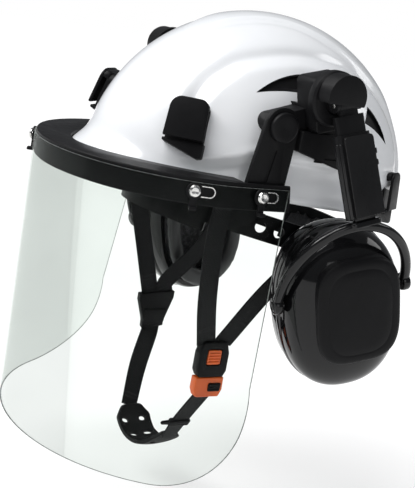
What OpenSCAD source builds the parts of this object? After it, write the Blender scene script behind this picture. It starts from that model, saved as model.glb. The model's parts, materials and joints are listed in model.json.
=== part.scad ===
/* [Shell] */
// Half of the shell's width over the ears
shell_half_w = 109; // [104:0.5:114]
// Half of the shell's length without its peak
shell_half_l = 138; // [132:0.5:144]
// Height of the dome above its widest level
shell_rise = 134.5; // [128:0.5:138]
// Wall thickness of the shell
shell_wall = 3; // [2.5:0.1:3.5]
// How far the peak stands out past the dome
peak_out = 15; // [8:0.5:17]

/* [Visor] */
// Half of the brow guard's width
guard_half_w = 115.5; // [115:0.1:118]
// Reach of the brow guard's curve in front of its straight sides
guard_reach = 104.5; // [103:0.1:108]
// Height of the brow guard's wall
guard_h = 19; // [16:0.5:22]
// Length of the visor sheet below the brim
visor_drop = 226; // [180:1:230]
// Thickness of the visor sheet
visor_t = 1.2; // [1:0.1:1.5]
// Share by which the visor widens for each millimetre of drop
visor_flare = 0.0009; // [0.0005:0.0001:0.0010]

/* [Ear muffs] */
// Backward lean of the muff arms, in degrees
muff_lean = 15; // [13:0.5:16]
// Half of an ear cup's width
cup_half_w = 47; // [43:0.5:48]
// Half of an ear cup's height
cup_half_h = 63.5; // [58:0.5:64]
// Distance from the turret's axis down to the pivots of the cup
cup_drop = 147; // [146:0.5:152]
// Turn of the cup towards the face, in degrees
cup_toe = 10; // [6:0.5:12]

/* [Headband] */
// Radius of the round back of the headband
nape_r = 79; // [77:0.5:80]
// Height of the headband at the brow
band_h = 34; // [28:1:36]
// Downward tilt of the headband towards the nape, in degrees
band_tilt = 11; // [9:0.5:12]
// Teeth on the ratchet's pinion
pinion_teeth = 12; // [12]

/* [Chin harness] */
// Width of the webbing
web_w = 16; // [14:0.5:18]
// Thickness of the webbing
web_t = 1.6; // [1.4:0.1:2]
// Width of the chin cup, from strap to strap
chin_w = 60; // [56:1:66]

/* [Hidden] */
$fn = 64;
gap = 0.3;            // clearance between pieces that move past each other
seat = 0.1;           // clearance between pieces that sit on each other
pin_fit = 0.05;       // radial clearance of a turning fit
far = 300;            // longer than the whole helmet

// ---- small helpers -------------------------------------------------------
function mix(a, b, t) = a * (1 - t) + b * t;
function bend(a, b, c, t) = mix(mix(a, b, t), mix(b, c, t), t);
function unit(v) = v / norm(v);

// A solid wrapped round a list of closed rings, each with the same number of points
module skin(rings) {
    n = len(rings[0]);
    m = len(rings);
    points = [for (ring = rings) for (p = ring) p];
    sides = [
        for (j = [0:m - 2]) for (i = [0:n - 1])
            let (k = (i + 1) % n)
            each [[j * n + i, (j + 1) * n + k, j * n + k], [j * n + i, (j + 1) * n + i, (j + 1) * n + k]]
    ];
    first = [for (i = [0:n - 1]) i];
    last = [for (i = [n - 1:-1:0]) (m - 1) * n + i];
    polyhedron(points, concat([first], sides, [last]));
}

// A flat strap along a path; across gives the strap's width direction at each point
module ribbon(path, across, width, thick) {
    m = len(path);
    skin([
        for (i = [0:m - 1])
            let (
                along = unit(path[min(i + 1, m - 1)] - path[max(i - 1, 0)]),
                w = unit(across[i] - along * (along * across[i])) * width / 2,
                t = unit(cross(along, w)) * thick / 2
            )
            [path[i] - w - t, path[i] + w - t, path[i] + w + t, path[i] - w + t]
    ]);
}

module both_sides() {
    children();
    mirror([1, 0, 0]) children();
}

// Turns a flat outline drawn in (y, z) to stand across X, from x0 to x1
module across_x(x0, x1) {
    translate([x0, 0, 0]) rotate([90, 0, 90]) linear_extrude(x1 - x0) children();
}

module rounded_rect(w, h, r) {
    square([w - 2 * r, h], center = true);
    square([w, h - 2 * r], center = true);
    for (x = [-1, 1]) for (y = [-1, 1]) translate([x * (w / 2 - r), y * (h / 2 - r)]) circle(r);
}

// ---- shell ---------------------------------------------------------------
shell_mid_z = -20;
rim_front_z = -5;
rim_back_z = -27;
shell_steps = 56;
dome_steps = 12;
crown_angle = 85;
peak_band = 9;

function rim_z(az) = mix(rim_front_z, rim_back_z, (1 - cos(az)) / 2);
function peak_at(az) =
    let (a = az > 180 ? 360 - az : az)
    a < 60 ? peak_out * pow(cos(a * 1.5), 2) : 0;

// A point on the shell's surface: az runs round from the front, t up from the rim; inset goes inwards
function shell_point(az, t, inset, rim_drop = 0) =
    let (
        w = shell_half_w - inset,
        l = shell_half_l - inset,
        h = shell_rise - inset,
        rim = asin((rim_z(az) - rim_drop - shell_mid_z) / h),
        e = mix(rim, crown_angle, t),
        z = shell_mid_z + h * sin(e),
        out = peak_at(az) * exp(-pow((z - rim_z(az)) / peak_band, 2))
    )
    [w * cos(e) * sin(az), -(l * cos(e) + out * cos(az)) * cos(az), z];

function shell_ring(t, inset, rim_drop = 0) = [
    for (i = [0:shell_steps - 1]) shell_point(i * 360 / shell_steps, t, inset, rim_drop)
];

// The wall between two depths under the shell's outer face
module shell_layer(outer, inner) {
    skin(concat(
        [for (j = [dome_steps:-1:0]) shell_ring(j / dome_steps, inner)],
        [for (j = [0:dome_steps]) shell_ring(j / dome_steps, outer)]
    ));
}

// Everything inside the shell's outer face, grown outwards by a clearance, and carried on below its rim
module shell_block(grow) {
    skin(concat([shell_ring(0, -grow, 12)], [for (j = [0:dome_steps]) shell_ring(j / dome_steps, -grow)]));
}

// Crescent vents: a bowed upper edge and a flatter lower edge, drawn in (y, z)
front_vent = [[-53, 60], [-36, 74], [-16, 77], [-17, 64], [-34, 65]];
rear_vent = [[48, 60], [64, 50], [70, 33], [56, 44], [42, 48]];
vent_steps = 6;

module vent_outline(v, shrink) {
    offset(delta = -shrink)
        polygon(concat(
            [for (i = [0:vent_steps]) bend(v[0], v[1], v[2], i / vent_steps)],
            [for (i = [0:vent_steps - 1]) bend(v[3], v[4], v[0], i / vent_steps)]
        ));
}

module rear_outline(v, shrink) {
    offset(delta = -shrink)
        polygon(concat(
            [for (i = [0:vent_steps]) bend(v[0], v[1], v[2], i / vent_steps)],
            [for (i = [1:vent_steps]) bend(v[2], v[3], v[4], i / vent_steps)]
        ));
}

module shell() {
    color("white")
        difference() {
            shell_layer(0, shell_wall);
            both_sides() {
                across_x(50, far) vent_outline(front_vent, 0);
                across_x(50, far) rear_outline(rear_vent, 0);
            }
        }
}

vent_recess = 0.8;
vent_plate = 1.8;

module vent_insert() {
    intersection() {
        shell_layer(vent_recess, vent_recess + vent_plate);
        across_x(50, far) children();
    }
}

module front_vents() {
    color("black") both_sides() vent_insert() vent_outline(front_vent, seat);
}

module rear_vents() {
    color("black") both_sides() vent_insert() rear_outline(rear_vent, seat);
}

// ---- headlamp clips ------------------------------------------------------
clip_w = 31;
rear_clip_w = 19;
clip_h = 41;
clip_slot = 4;        // room under a tab for the headlamp's strap
tab_t = 2.4;
tab_h = 25;
front_clip_at = [68.5, -98.5, 28];
front_clip_az = 49;
front_clip_tip = 17;
rear_clip_at = [84.3, 81, -9];
rear_clip_az = 121;
rear_clip_tip = 4;

// Local Z points out of the shell, local Y up along it
module at_clip(front) {
    translate(front ? front_clip_at : rear_clip_at)
        rotate([0, 0, front ? front_clip_az : rear_clip_az])
            rotate([90 - (front ? front_clip_tip : rear_clip_tip), 0, 0])
                children();
}

// A plate outline with its two upper corners rounded
module shield(half, low, high, r) {
    translate([-half, low]) square([2 * half, high - low - r]);
    translate([-half + r, low]) square([2 * half - 2 * r, high - low]);
    for (x = [-1, 1]) translate([x * (half - r), high - r]) circle(r);
}

module clip_base(width) {
    half = width / 2;
    low = clip_h / 2 - tab_h - 6;
    translate([0, 0, -9]) linear_extrude(11) shield(half - 1, low - 2, clip_h / 2 - 1, 6.5);
    translate([0, 0, 1]) linear_extrude(clip_slot + 1)
        shield(half - 1.5, clip_h / 2 - 8, clip_h / 2 - 0.5, 6);
    translate([0, 0, -9]) linear_extrude(14)
        polygon([
            [-half, low], [half, low], [half, -clip_h / 2], [half - 4, -clip_h / 2 - 1], [-half, low - 2]
        ]);
}

module headlamp_clip_bases() {
    color("black")
        difference() {
            both_sides() {
                at_clip(true) clip_base(clip_w);
                at_clip(false) clip_base(rear_clip_w);
            }
            shell_block(seat);
            translate([0, 0, -25]) shell_block(seat);
        }
}

// The springy tab; its root is level with the top of the base
module clip_tab(width) {
    color("black")
        translate([0, 0, 2 + clip_slot + seat])
            linear_extrude(tab_t) shield(width / 2 - 0.5, clip_h / 2 - tab_h - 5, clip_h / 2, 8);
}

module clip_tab_front_left() at_clip(true) clip_tab(clip_w);
module clip_tab_front_right() mirror([1, 0, 0]) at_clip(true) clip_tab(clip_w);
module clip_tab_rear_left() at_clip(false) clip_tab(rear_clip_w);
module clip_tab_rear_right() mirror([1, 0, 0]) at_clip(false) clip_tab(rear_clip_w);

// ---- side socket, bracket and visor pivot --------------------------------
pivot_y = -46;
pivot_z = 41;
pin_r = 3;
arm_x0 = 107;         // inner face of the visor arm
arm_t = 4;
boss_r = 8;
block_in = 97;        // above block_foot the block stands clear of the shell
block_foot = 58;
socket_y = [-30, 17];
socket_z = [12, 40];
socket_rise = 13;     // how much higher the socket's lower edge is at its front end
socket_x = 113;
blade_x = [109.5, 112];
blade_y = [-13, 11];
turret_y = -17;
turret_z = 67;
turret_r = 20;
turret_x = [121.3, 128.5];
turret_pin_r = 6;
block_x = 121;

module side_sockets() {
    color("black")
        both_sides()
            difference() {
                across_x(90, socket_x)
                    polygon([
                        [socket_y[0], socket_z[0] + socket_rise], [socket_y[1], socket_z[0]],
                        [socket_y[1], socket_z[1]], [socket_y[0], socket_z[1]]
                    ]);
                shell_block(seat);
                translate([blade_x[0] - seat, blade_y[0] - seat, socket_z[0] + 4])
                    cube([blade_x[1] - blade_x[0] + 2 * seat, blade_y[1] - blade_y[0] + 2 * seat, far]);
                translate([socket_x - 2.5, blade_y[0] + 7, socket_z[0] + 9])
                    cube([5, blade_y[1] - blade_y[0] - 12, 4]);
            }
}

module bracket_side() {
    difference() {
        union() {
            muff_frame() across_x(75, block_x)
                translate([2.5, -5]) rounded_rect(31, 39.5, 3);
            across_x(75, arm_x0 - gap)
                hull() {
                    translate([pivot_y, pivot_z]) circle(boss_r);
                    translate([-20, 50]) circle(boss_r);
                }
            translate([blade_x[0], blade_y[0], socket_z[0] + 6])
                cube([blade_x[1] - blade_x[0], blade_y[1] - blade_y[0], 36]);
        }
        shell_block(seat);
        translate([60, -60, block_foot]) cube([block_in - 60, 80, 50]);
        translate([arm_x0 - gap, pivot_y, pivot_z]) rotate([0, 90, 0]) cylinder(far, r = 16);
        translate([80, pivot_y, pivot_z]) rotate([0, 90, 0]) cylinder(far, r = pin_r);
        translate([block_x - 9, turret_y, turret_z]) rotate([0, 90, 0]) cylinder(far, r = turret_pin_r + pin_fit);
        translate([75, socket_y[0] - 1, -far + socket_z[1] + 0.2]) cube([34, far, far]);
    }
}

module side_brackets() {
    color("black") both_sides() bracket_side();
}

module visor_pivot_pins() {
    color("silver")
        both_sides()
            translate([97, pivot_y, pivot_z]) rotate([0, 90, 0]) cylinder(arm_x0 + arm_t + 2.5 - 97, r = pin_r);
}

module pivot_caps() {
    color("black")
        both_sides()
            translate([arm_x0 + arm_t + gap, pivot_y, pivot_z]) rotate([0, 90, 0])
                difference() {
                    rotate_extrude()
                        polygon([[0, 0], [11, 0], [11, 2.5], [10, 3.8], [7, 4.6], [0, 4.6]]);
                    translate([0, 0, -1]) cylinder(1 + 2.5 - gap, r = pin_r);
                }
}

// ---- brow guard and visor ------------------------------------------------
guard_mid_y = -70;
guard_end_y = -33;
guard_wall = 3;
plate_t = 3;
plate_gap = 1.8;      // clearance between the guard's plate and the shell
guard_steps = 48;
front_arc = 173;      // length of the curve from its middle to where the sides turn straight
side_run = guard_end_y - guard_mid_y;
half_arc = front_arc + side_run;
visor_lean = 0.11;    // how far the curve moves back for each millimetre of drop

// A point on the guard's outer face: u is the length along the curve from its middle, out goes outwards
function guard_point(u, out, z) =
    let (
        grow = 1 - visor_flare * z,
        angle = 90 * min(1, abs(u) / front_arc),
        tail = max(0, abs(u) - front_arc),
        side = u < 0 ? -1 : 1
    )
    [
        side * (guard_half_w * grow + out) * sin(angle),
        guard_mid_y - visor_lean * z - (guard_reach * grow + out) * cos(angle) + tail,
        z
    ];

function guard_turn(u) = 90 * max(-1, min(1, u / front_arc));

module guard_wall_ring() {
    skin([
        for (i = [0:guard_steps])
            let (u = half_arc * (2 * i / guard_steps - 1))
            [
                guard_point(u, -guard_wall, -guard_h), guard_point(u, -guard_wall, 0),
                guard_point(u, 0, 0), guard_point(u, 0, -guard_h)
            ]
    ]);
}

// Where the brim of the shell stands furthest out under the guard's plate
function brim_point(az) =
    let (p = shell_point(az, 0.02, -plate_gap), q = shell_point(az, 0.06, -plate_gap))
    norm(p) > norm(q) ? [p[0], p[1]] : [q[0], q[1]];

// The crescent plate fills the space between the wall and the shell's brim
module guard_plate() {
    translate([0, 0, -plate_t])
        linear_extrude(plate_t)
            difference() {
                polygon([
                    for (i = [0:guard_steps])
                        let (p = guard_point(half_arc * (2 * i / guard_steps - 1), -1, 0)) [p[0], p[1]]
                ]);
                polygon([for (i = [0:shell_steps - 1]) brim_point(i * 360 / shell_steps)]);
                both_sides() translate([90, -69]) square([arm_x0 + arm_t + 1.4 - 90, 60]);
            }
}

// The visor's locks: two on the left, and on the right one near the front and one at the rear
lock_z = -9;
lock_front = 132;
lock_rear = 184;
lock_far_front = 64;
lock_pin_r = 2.5;
lock_hole_r = 2.55;

// How far the visor leans outwards for each millimetre down, at u
function lock_slope(u) =
    let (a = guard_turn(u))
    visor_flare * (guard_half_w * pow(sin(a), 2) + guard_reach * pow(cos(a), 2)) - visor_lean * cos(a);

// Local Z points outwards, square to the visor
module at_lock(u) {
    p = guard_point(u, 0, lock_z);
    translate(p) rotate([0, 0, guard_turn(u)]) rotate([90 - atan(lock_slope(u)), 0, 0]) children();
}

module at_locks() {
    for (u = [lock_front, lock_rear, -lock_far_front, -lock_rear]) at_lock(u) children();
}

module brow_guard() {
    color("black")
        difference() {
            union() {
                guard_wall_ring();
                guard_plate();
            }
            at_locks() translate([0, 0, -10]) cylinder(20, r = lock_hole_r);
        }
}

module visor_arm_side() {
    difference() {
        union() {
            across_x(arm_x0, arm_x0 + arm_t)
                hull() {
                    translate([pivot_y, pivot_z]) circle(14);
                    translate([-67, -14.5]) square([31, 14.5]);
                }
            across_x(arm_x0 + arm_t - 1, arm_x0 + arm_t + 1.3) translate([-65, -14]) square([26, 12]);
        }
        translate([90, pivot_y, pivot_z]) rotate([0, 90, 0]) cylinder(40, r = pin_r + pin_fit);
        across_x(arm_x0 + arm_t - 1, 130)
            polygon([[-50, 24], [-47, 24], [-51, 0], [-54, 0]]);
        at_lock(lock_rear) translate([0, 0, -12]) cylinder(20, r = 5);
    }
}

module visor_arms() {
    color("black") both_sides() visor_arm_side();
}

visor_gap = 0.2;
visor_top = -3;
visor_rows = 15;
corner_rise = 76;
edge_top = 209;
edge_low = 181;
corner_run = 68;

// Half the visor's width, along the curve, at a drop v below the brim
function visor_edge(v) =
    let (straight = visor_drop - corner_rise)
    v < straight
        ? mix(edge_top, edge_low, v / straight)
        : edge_low - corner_run * (1 - sqrt(max(0, 1 - pow((v - straight) / corner_rise, 2))));

module visor_sheet() {
    straight = visor_drop - corner_rise;
    drops = [
        for (i = [0:visor_rows])
            i < 6 ? mix(-visor_top, straight, i / 6) : straight + corner_rise * sin(90 * (i - 6) / (visor_rows - 6))
    ];
    skin([
        for (j = [visor_rows:-1:0])
            let (v = drops[j], e = visor_edge(v))
            concat(
                [for (i = [0:guard_steps]) guard_point(e * (2 * i / guard_steps - 1), visor_gap + visor_t, -v)],
                [for (i = [guard_steps:-1:0]) guard_point(e * (2 * i / guard_steps - 1), visor_gap, -v)]
            )
    ]);
}

slot_w = 7;
slot_l = 18;

module visor() {
    color([0.9, 0.95, 0.93, 0.4])
        difference() {
            visor_sheet();
            at_locks() {
                translate([0, 0, -3]) cylinder(8, d = slot_w);
                translate([slot_l - slot_w, 0, -3]) cylinder(8, d = slot_w);
                translate([0, -slot_w / 2, -3]) cube([slot_l - slot_w, slot_w, 8]);
            }
        }
}

stud_head = visor_gap + visor_t + gap;

module visor_studs() {
    color("silver")
        at_locks() {
            translate([0, 0, -guard_wall - 2.6]) cylinder(guard_wall + 2.6 + stud_head + 3, r = lock_pin_r);
            translate([0, 0, stud_head + 2.2]) cylinder(2.2, r1 = 4.2, r2 = 3.2);
            translate([0, 0, -guard_wall - 2.6]) cylinder(1.6, r = 4.5);
        }
}

// A turn lock: a ring round the stud with a thumb lever
module lock_lever() {
    color("black")
        difference() {
            union() {
                translate([0, 0, stud_head]) cylinder(2, r = 6);
                translate([-2.5, -13, stud_head]) cube([5, 13, 2]);
                translate([-2.5, -13.5, stud_head]) cube([5, 2.5, 5]);
            }
            translate([0, 0, stud_head - 1]) cylinder(10, r = lock_hole_r);
        }
}

module lock_front_left() at_lock(lock_front) lock_lever();
module lock_rear_left() at_lock(lock_rear) lock_lever();
module lock_front_right() at_lock(-lock_far_front) lock_lever();
module lock_rear_right() at_lock(-lock_rear) lock_lever();

// ---- ear muffs -----------------------------------------------------------
hinge_x = 134.5;
hinge_y = 3;          // the hinge sits behind the turret's axis and a little below it
hinge_z = -2;
hinge_r = 2;
knuckle_r = 5.5;
knuckle_half = 8;
ear_t = 2.5;
hood_r = 16;          // the hinge's cover, round above and cut off flat below
hood_y = -1;
hood_z = 3;
hood_low = -5;
hood_wall = 1.6;
throat_w = 15;        // the arm's narrow throat passes between the ears
throat_t = 4;
neck_top = -8.5;      // the wide neck runs from here down to the sleeve
neck_l = 21.5;
neck_w = 24;
neck_t = 6;
arm_slope = 14.4;
sleeve_l = 81;
stem_top = -30;
hoop_top = -86.7;
cup_x = 130;
hoop_half_w = 52;
hoop_r = 3.6;
hoop_steps = 22;
tilt_pin_r = 2.5;
cup_power = 2.3;
cup_steps = 40;
cup_wall = 2.6;
cup_back = -30;
cup_max_x = -6;
dome_d = 33;
cup_below = 12;       // from the pivots down to the middle of the cup
cushion_t = 12;
plate_half_w = 33.5;
plate_half_h = 41;
plate_up = 6;         // from the middle of the cup up to the middle of its plate
plate_back = 3;

module muff_frame() {
    translate([0, turret_y, turret_z]) rotate([muff_lean, 0, 0]) children();
}

module arm_frame() {
    muff_frame() translate([hinge_x, hinge_y, hinge_z]) rotate([0, -arm_slope, 0]) children();
}

module cup_frame() {
    muff_frame() translate([cup_x, 0, -cup_drop]) rotate([0, 0, -cup_toe]) children();
}

module turret() {
    color("black")
        muff_frame() {
            translate([turret_x[0], 0, 0]) rotate([0, 90, 0])
                rotate_extrude()
                    polygon([
                        [0, 0], [turret_r, 0], [turret_r, 5.5], [turret_r - 1.5, 7.2],
                        [11, 7.2], [11, 6], [8, 6], [8, 7.2], [0, 7.2]
                    ]);
            translate([block_x - 8.5, 0, 0]) rotate([0, 90, 0]) cylinder(9.5, r = turret_pin_r);
            difference() {
                union() {
                    hinge_ears();
                    hinge_hood();
                }
                translate([hinge_x, hinge_y, hinge_z]) hinge_room();
            }
        }
}

module hinge_ears() {
    half = knuckle_half + gap + ear_t;
    translate([turret_x[1] - 2, hinge_y, hinge_z]) across_x(0, hinge_x - turret_x[1] + 2)
        rounded_rect(2 * half, 2 * knuckle_r, 1.5);
    translate([hinge_x, hinge_y + half, hinge_z]) rotate([90, 0, 0]) cylinder(2 * half, r = knuckle_r);
}

// A half-round hood over the hinge; it stands upright though the arm leans
module hinge_hood() {
    rotate([-muff_lean, 0, 0])
        across_x(turret_x[1] - 1, hinge_x + knuckle_r + gap + hood_wall)
            translate([hood_y, hood_z])
                difference() {
                    circle(hood_r);
                    translate([-far, hood_low - far]) square([2 * far, far]);
                }
}

// Room for the knuckle and the throat to turn, and the pin's bore
module hinge_room() {
    room = knuckle_half + gap;
    r = knuckle_r + gap;
    translate([0, room, 0]) rotate([90, 0, 0]) cylinder(2 * room, r = r);
    translate([-r, -room, -far]) cube([2 * r, 2 * room, far]);
    translate([0, far, 0]) rotate([90, 0, 0]) cylinder(far + room + ear_t, r = hinge_r);
}

module hinge_pin() {
    half = knuckle_half + gap + ear_t;
    color("silver")
        muff_frame() translate([hinge_x, hinge_y + half, hinge_z])
            rotate([90, 0, 0]) cylinder(2 * half, r = hinge_r);
}

module muff_arm() {
    color("black")
        arm_frame()
            difference() {
                union() {
                    translate([0, knuckle_half, 0]) rotate([90, 0, 0]) cylinder(2 * knuckle_half, r = knuckle_r);
                    translate([0, 0, neck_top - 1]) linear_extrude(1 - neck_top) square([throat_t, throat_w], center = true);
                    translate([0, 0, -neck_l - 1]) linear_extrude(neck_l + 1 + neck_top) rounded_rect(neck_t, neck_w, 2);
                    translate([0, 0, -sleeve_l]) linear_extrude(sleeve_l - neck_l) rounded_rect(9, 29, 4);
                }
                translate([0, 50, 0]) rotate([90, 0, 0]) cylinder(100, r = hinge_r + pin_fit);
                translate([-2.2, -9.2, -sleeve_l - 1]) cube([4.4, 18.4, sleeve_l + 1 + stem_top + 2]);
            }
}

function hoop_point(angle) =
    let (
        top = cup_drop + hinge_z + hoop_top * cos(arm_slope),
        out = hinge_x - hoop_top * sin(arm_slope) - cup_x
    )
    [out * sin(angle), -hoop_half_w * cos(angle), top * sin(angle)];

module hoop() {
    skin([
        for (i = [0:hoop_steps])
            let (
                a = 180 * i / hoop_steps,
                p = hoop_point(a),
                along = unit(hoop_point(a + 1) - hoop_point(a - 1)),
                w = unit(cross(along, [1, 0, 0])),
                v = cross(along, w)
            )
            [for (k = [0:9]) p + hoop_r * (w * cos(36 * k) + v * sin(36 * k))]
    ]);
}

module yoke() {
    color("black") {
        arm_frame() translate([0, 0, hoop_top]) linear_extrude(stem_top - hoop_top) rounded_rect(4, 18, 1.5);
        arm_frame() translate([0, 0, hoop_top - 3]) linear_extrude(5.6) rounded_rect(9, 26, 4);
        cup_frame() {
            hoop();
            for (side = [-1, 1])
                mirror([0, side < 0 ? 1 : 0, 0]) {
                    translate([0, hoop_half_w + hoop_r, 0]) rotate([90, 0, 0]) cylinder(6, r = 6.5);
                    translate([0, hoop_half_w, 0]) rotate([90, 0, 0]) cylinder(9, r = tilt_pin_r);
                }
        }
    }
}

function spow(v, p) = (v < 0 ? -1 : 1) * pow(abs(v), p);

function oval(hw, hh, power, x) = [
    for (i = [0:cup_steps - 1])
        let (a = 360 * i / cup_steps)
        [x, hw * spow(cos(a), 2 / power), hh * spow(sin(a), 2 / power) - cup_below]
];

function cup_ring(scale, x, inset) = oval(cup_half_w * scale - inset, cup_half_h * scale - inset, cup_power, x);

function cup_dome(inset, front) = [
    for (i = [0:8])
        let (a = front * i / 8)
        cup_ring(pow(cos(a), 2 / 2.4), cup_max_x + (dome_d - inset) * pow(sin(a), 2 / 2.4), inset)
];

function reversed(list) = [for (i = [len(list) - 1:-1:0]) list[i]];

dome_front = 62;      // angle at which the dome turns flat under its plate

function cup_outside() = concat(
    [cup_ring(0.93, cup_back, 0), cup_ring(0.99, cup_back + 5, 0), cup_ring(1, -16, 0)], cup_dome(0, dome_front)
);

module ear_cup() {
    inside = concat(
        [cup_ring(0.93, cup_back, cup_wall), cup_ring(1, -16, cup_wall)], cup_dome(cup_wall, dome_front)
    );
    color("black")
        cup_frame()
            difference() {
                skin(concat(reversed(inside), cup_outside()));
                for (side = [-1, 1])
                    mirror([0, side < 0 ? 1 : 0, 0])
                        translate([0, cup_half_w + 5, 0]) rotate([90, 0, 0])
                            cylinder(12, r = tilt_pin_r + pin_fit);
            }
}

module cup_plate() {
    color("dimgray")
        cup_frame()
            difference() {
                translate([0, plate_back, plate_up]) skin([
                    oval(plate_half_w, plate_half_h, 3.4, 10),
                    oval(plate_half_w, plate_half_h, 3.4, 24.5),
                    oval(plate_half_w - 1, plate_half_h - 1, 3.4, 26),
                    oval(plate_half_w - 4, plate_half_h - 4, 3.2, 27)
                ]);
                skin([for (r = cup_outside()) [for (p = r) [p[0] + seat, p[1] * 1.004, p[2] * 1.004]]]);
            }
}

module cup_foam() {
    inset = cup_wall + 1;
    color("darkgray")
        cup_frame()
            skin([for (a = [8, 25, 40, 50])
                cup_ring(pow(cos(a), 2 / 2.4), cup_max_x + (dome_d - inset) * pow(sin(a), 2 / 2.4), inset)]);
}

module cushion() {
    color("black")
        cup_frame()
            translate([cup_back - seat - cushion_t, 0, 0]) rotate([90, 0, 90])
                linear_extrude(cushion_t)
                    difference() {
                        polygon([for (p = oval(cup_half_w - 3, cup_half_h - 4, cup_power, 0)) [p[1], p[2]]]);
                        polygon([for (p = oval(cup_half_w - 20, cup_half_h - 24, cup_power, 0)) [p[1], p[2]]]);
                    }
}

module turret_left() turret();
module hinge_pin_left() hinge_pin();
module muff_arm_left() muff_arm();
module yoke_left() yoke();
module ear_cup_left() ear_cup();
module cup_plate_left() cup_plate();
module cup_foam_left() cup_foam();
module cushion_left() cushion();
module turret_right() mirror([1, 0, 0]) turret();
module hinge_pin_right() mirror([1, 0, 0]) hinge_pin();
module muff_arm_right() mirror([1, 0, 0]) muff_arm();
module yoke_right() mirror([1, 0, 0]) yoke();
module ear_cup_right() mirror([1, 0, 0]) ear_cup();
module cup_plate_right() mirror([1, 0, 0]) cup_plate();
module cup_foam_right() mirror([1, 0, 0]) cup_foam();
module cushion_right() mirror([1, 0, 0]) cushion();

// ---- cradle --------------------------------------------------------------
cradle_top = 84;
cradle_w = 20;
cradle_t = 1.6;
anchor_z = 2;
strap_azimuths = [0, 66, 114];

// Reach of the cradle towards azimuth az, measured from the front
function cradle_reach(az, inset) =
    1 / sqrt(pow(sin(az) / (shell_half_w - shell_wall - inset), 2)
        + pow(cos(az) / (shell_half_l - shell_wall - inset), 2));

module cradle_strap(az) {
    steps = 20;
    reach = cradle_reach(az, 9);
    back = cradle_reach(az + 180, 9);
    rise = cradle_top - anchor_z;
    outer = [for (i = [0:steps]) let (a = 180 * i / steps) [(a < 90 ? reach : back) * cos(a), rise * sin(a)]];
    inner = [
        for (i = [steps:-1:0])
            let (a = 180 * i / steps) [((a < 90 ? reach : back) - cradle_t) * cos(a), (rise - cradle_t) * sin(a)]
    ];
    rotate([0, 0, az - 90])
        translate([0, cradle_w / 2, anchor_z]) rotate([90, 0, 0])
            linear_extrude(cradle_w) polygon(concat(outer, inner));
}

module cradle_straps() {
    color("black") {
        for (az = strap_azimuths) cradle_strap(az);
    }
}

module cradle_anchors() {
    color("black")
        for (az = concat(strap_azimuths, [for (a = strap_azimuths) a + 180]))
            rotate([0, 0, az - 90]) translate([cradle_reach(az, 9) - 1, 0, anchor_z - 16])
                translate([-4, -12, 0]) cube([7, 24, 15.9]);
}

module crown_pad() {
    color("dimgray")
        translate([0, 0, cradle_top - cradle_t - 6])
            rotate_extrude()
                polygon([[0, 0], [20, -2], [34, -6], [38, -5], [38, -3.4], [34, -0.6], [20, 3.5], [0, 5.5]]);
}

// ---- headband ------------------------------------------------------------
band_z = -46;
band_mid_y = 20;
band_t = 2.2;
band_front = 117;
band_end = 114;
tail_t = 2.1;
tail_gap = 0.3;
tail_h = 8;
rack_z = 6;           // from the band's middle to each rack's pitch line
tooth_h = 0.8;
tooth_turn = 2.308;   // angle of one tooth of the racks round the nape
tooth_half = 0.42;    // half the angle that one tooth fills
tail_from = 88;
tail_to = -21;
housing_half = 35;
housing_in = 74;
housing_out = 88;
housing_h = 35;
knob_r = 17;

module band_frame() {
    translate([0, 0, band_z]) rotate([-band_tilt, 0, 0]) translate([0, band_mid_y, 0]) children();
}

function band_point(a, out) =
    let (front = abs(a) < 90 ? band_front - nape_r : 0)
    [(nape_r + out) * sin(a), -(nape_r + out + front) * cos(a)];

module band_arc(from, to, in, out) {
    steps = 36;
    polygon(concat(
        [for (i = [0:steps]) band_point(mix(from, to, i / steps), out)],
        [for (i = [steps:-1:0]) band_point(mix(from, to, i / steps), in)]
    ));
}

module headband() {
    color("black")
        band_frame()
            difference() {
                union() {
                    translate([0, 0, -band_h / 2]) linear_extrude(band_h) band_arc(-46, 46, 0, band_t);
                    translate([0, 0, -10]) linear_extrude(20) band_arc(-band_end, band_end, 0, band_t);
                    for (a = [-60, 60])
                        linear_extrude(46) band_arc(a - 5, a + 5, 0, band_t);
                }
                for (a = [-76, -68, 68, 76])
                    let (p = band_point(a, 0))
                    translate([p[0], p[1], 0]) rotate([0, 0, a]) rotate([90, 0, 0])
                        translate([0, 0, -20]) cylinder(40, r = 4.5);
                for (a = [-48, -32, 32, 48])
                    let (p = band_point(a, 0))
                    translate([p[0], p[1], 8]) rotate([0, 0, a]) rotate([90, 0, 0])
                        translate([0, 0, -20]) cylinder(40, r = 5);
            }
}

module brow_pad() {
    color("dimgray")
        band_frame() translate([0, 0, -band_h / 2 + 1]) linear_extrude(band_h - 4) band_arc(-43, 43, -5, -0.2);
}

// A stretch of ring round the back of the head, centred on angle a from straight back
module nape_ring(a, half, r0, r1, z0, z1) {
    rotate([0, 0, 90 + a - half])
        rotate_extrude(angle = 2 * half) translate([r0, z0]) square([r1 - r0, z1 - z0]);
}

tail_out = nape_r - tail_gap;
tail_in = tail_out - tail_t;

module tail(upper) {
    color("black")
        band_frame()
            mirror([upper ? 0 : 1, 0, 0]) mirror([0, 0, upper ? 0 : 1]) {
                mid = (tail_from + tail_to) / 2;
                half = (tail_from - tail_to) / 2;
                difference() {
                    nape_ring(-mid, half, tail_in, tail_out, rack_z - tooth_h, rack_z + tail_h);
                    for (k = [-9:15])
                        nape_ring(
                            -k * tooth_turn, tooth_turn / 2 - tooth_half,
                            tail_in - 1, tail_out + 1, rack_z - 2, rack_z + tooth_h
                        );
                    nape_ring(-half - 15.6 * tooth_turn, half, tail_in - 1, tail_out + 1, rack_z - 2, rack_z + tooth_h);
                }
            }
}

module nape_tail_left() tail(true);
module nape_tail_right() tail(false);

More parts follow.
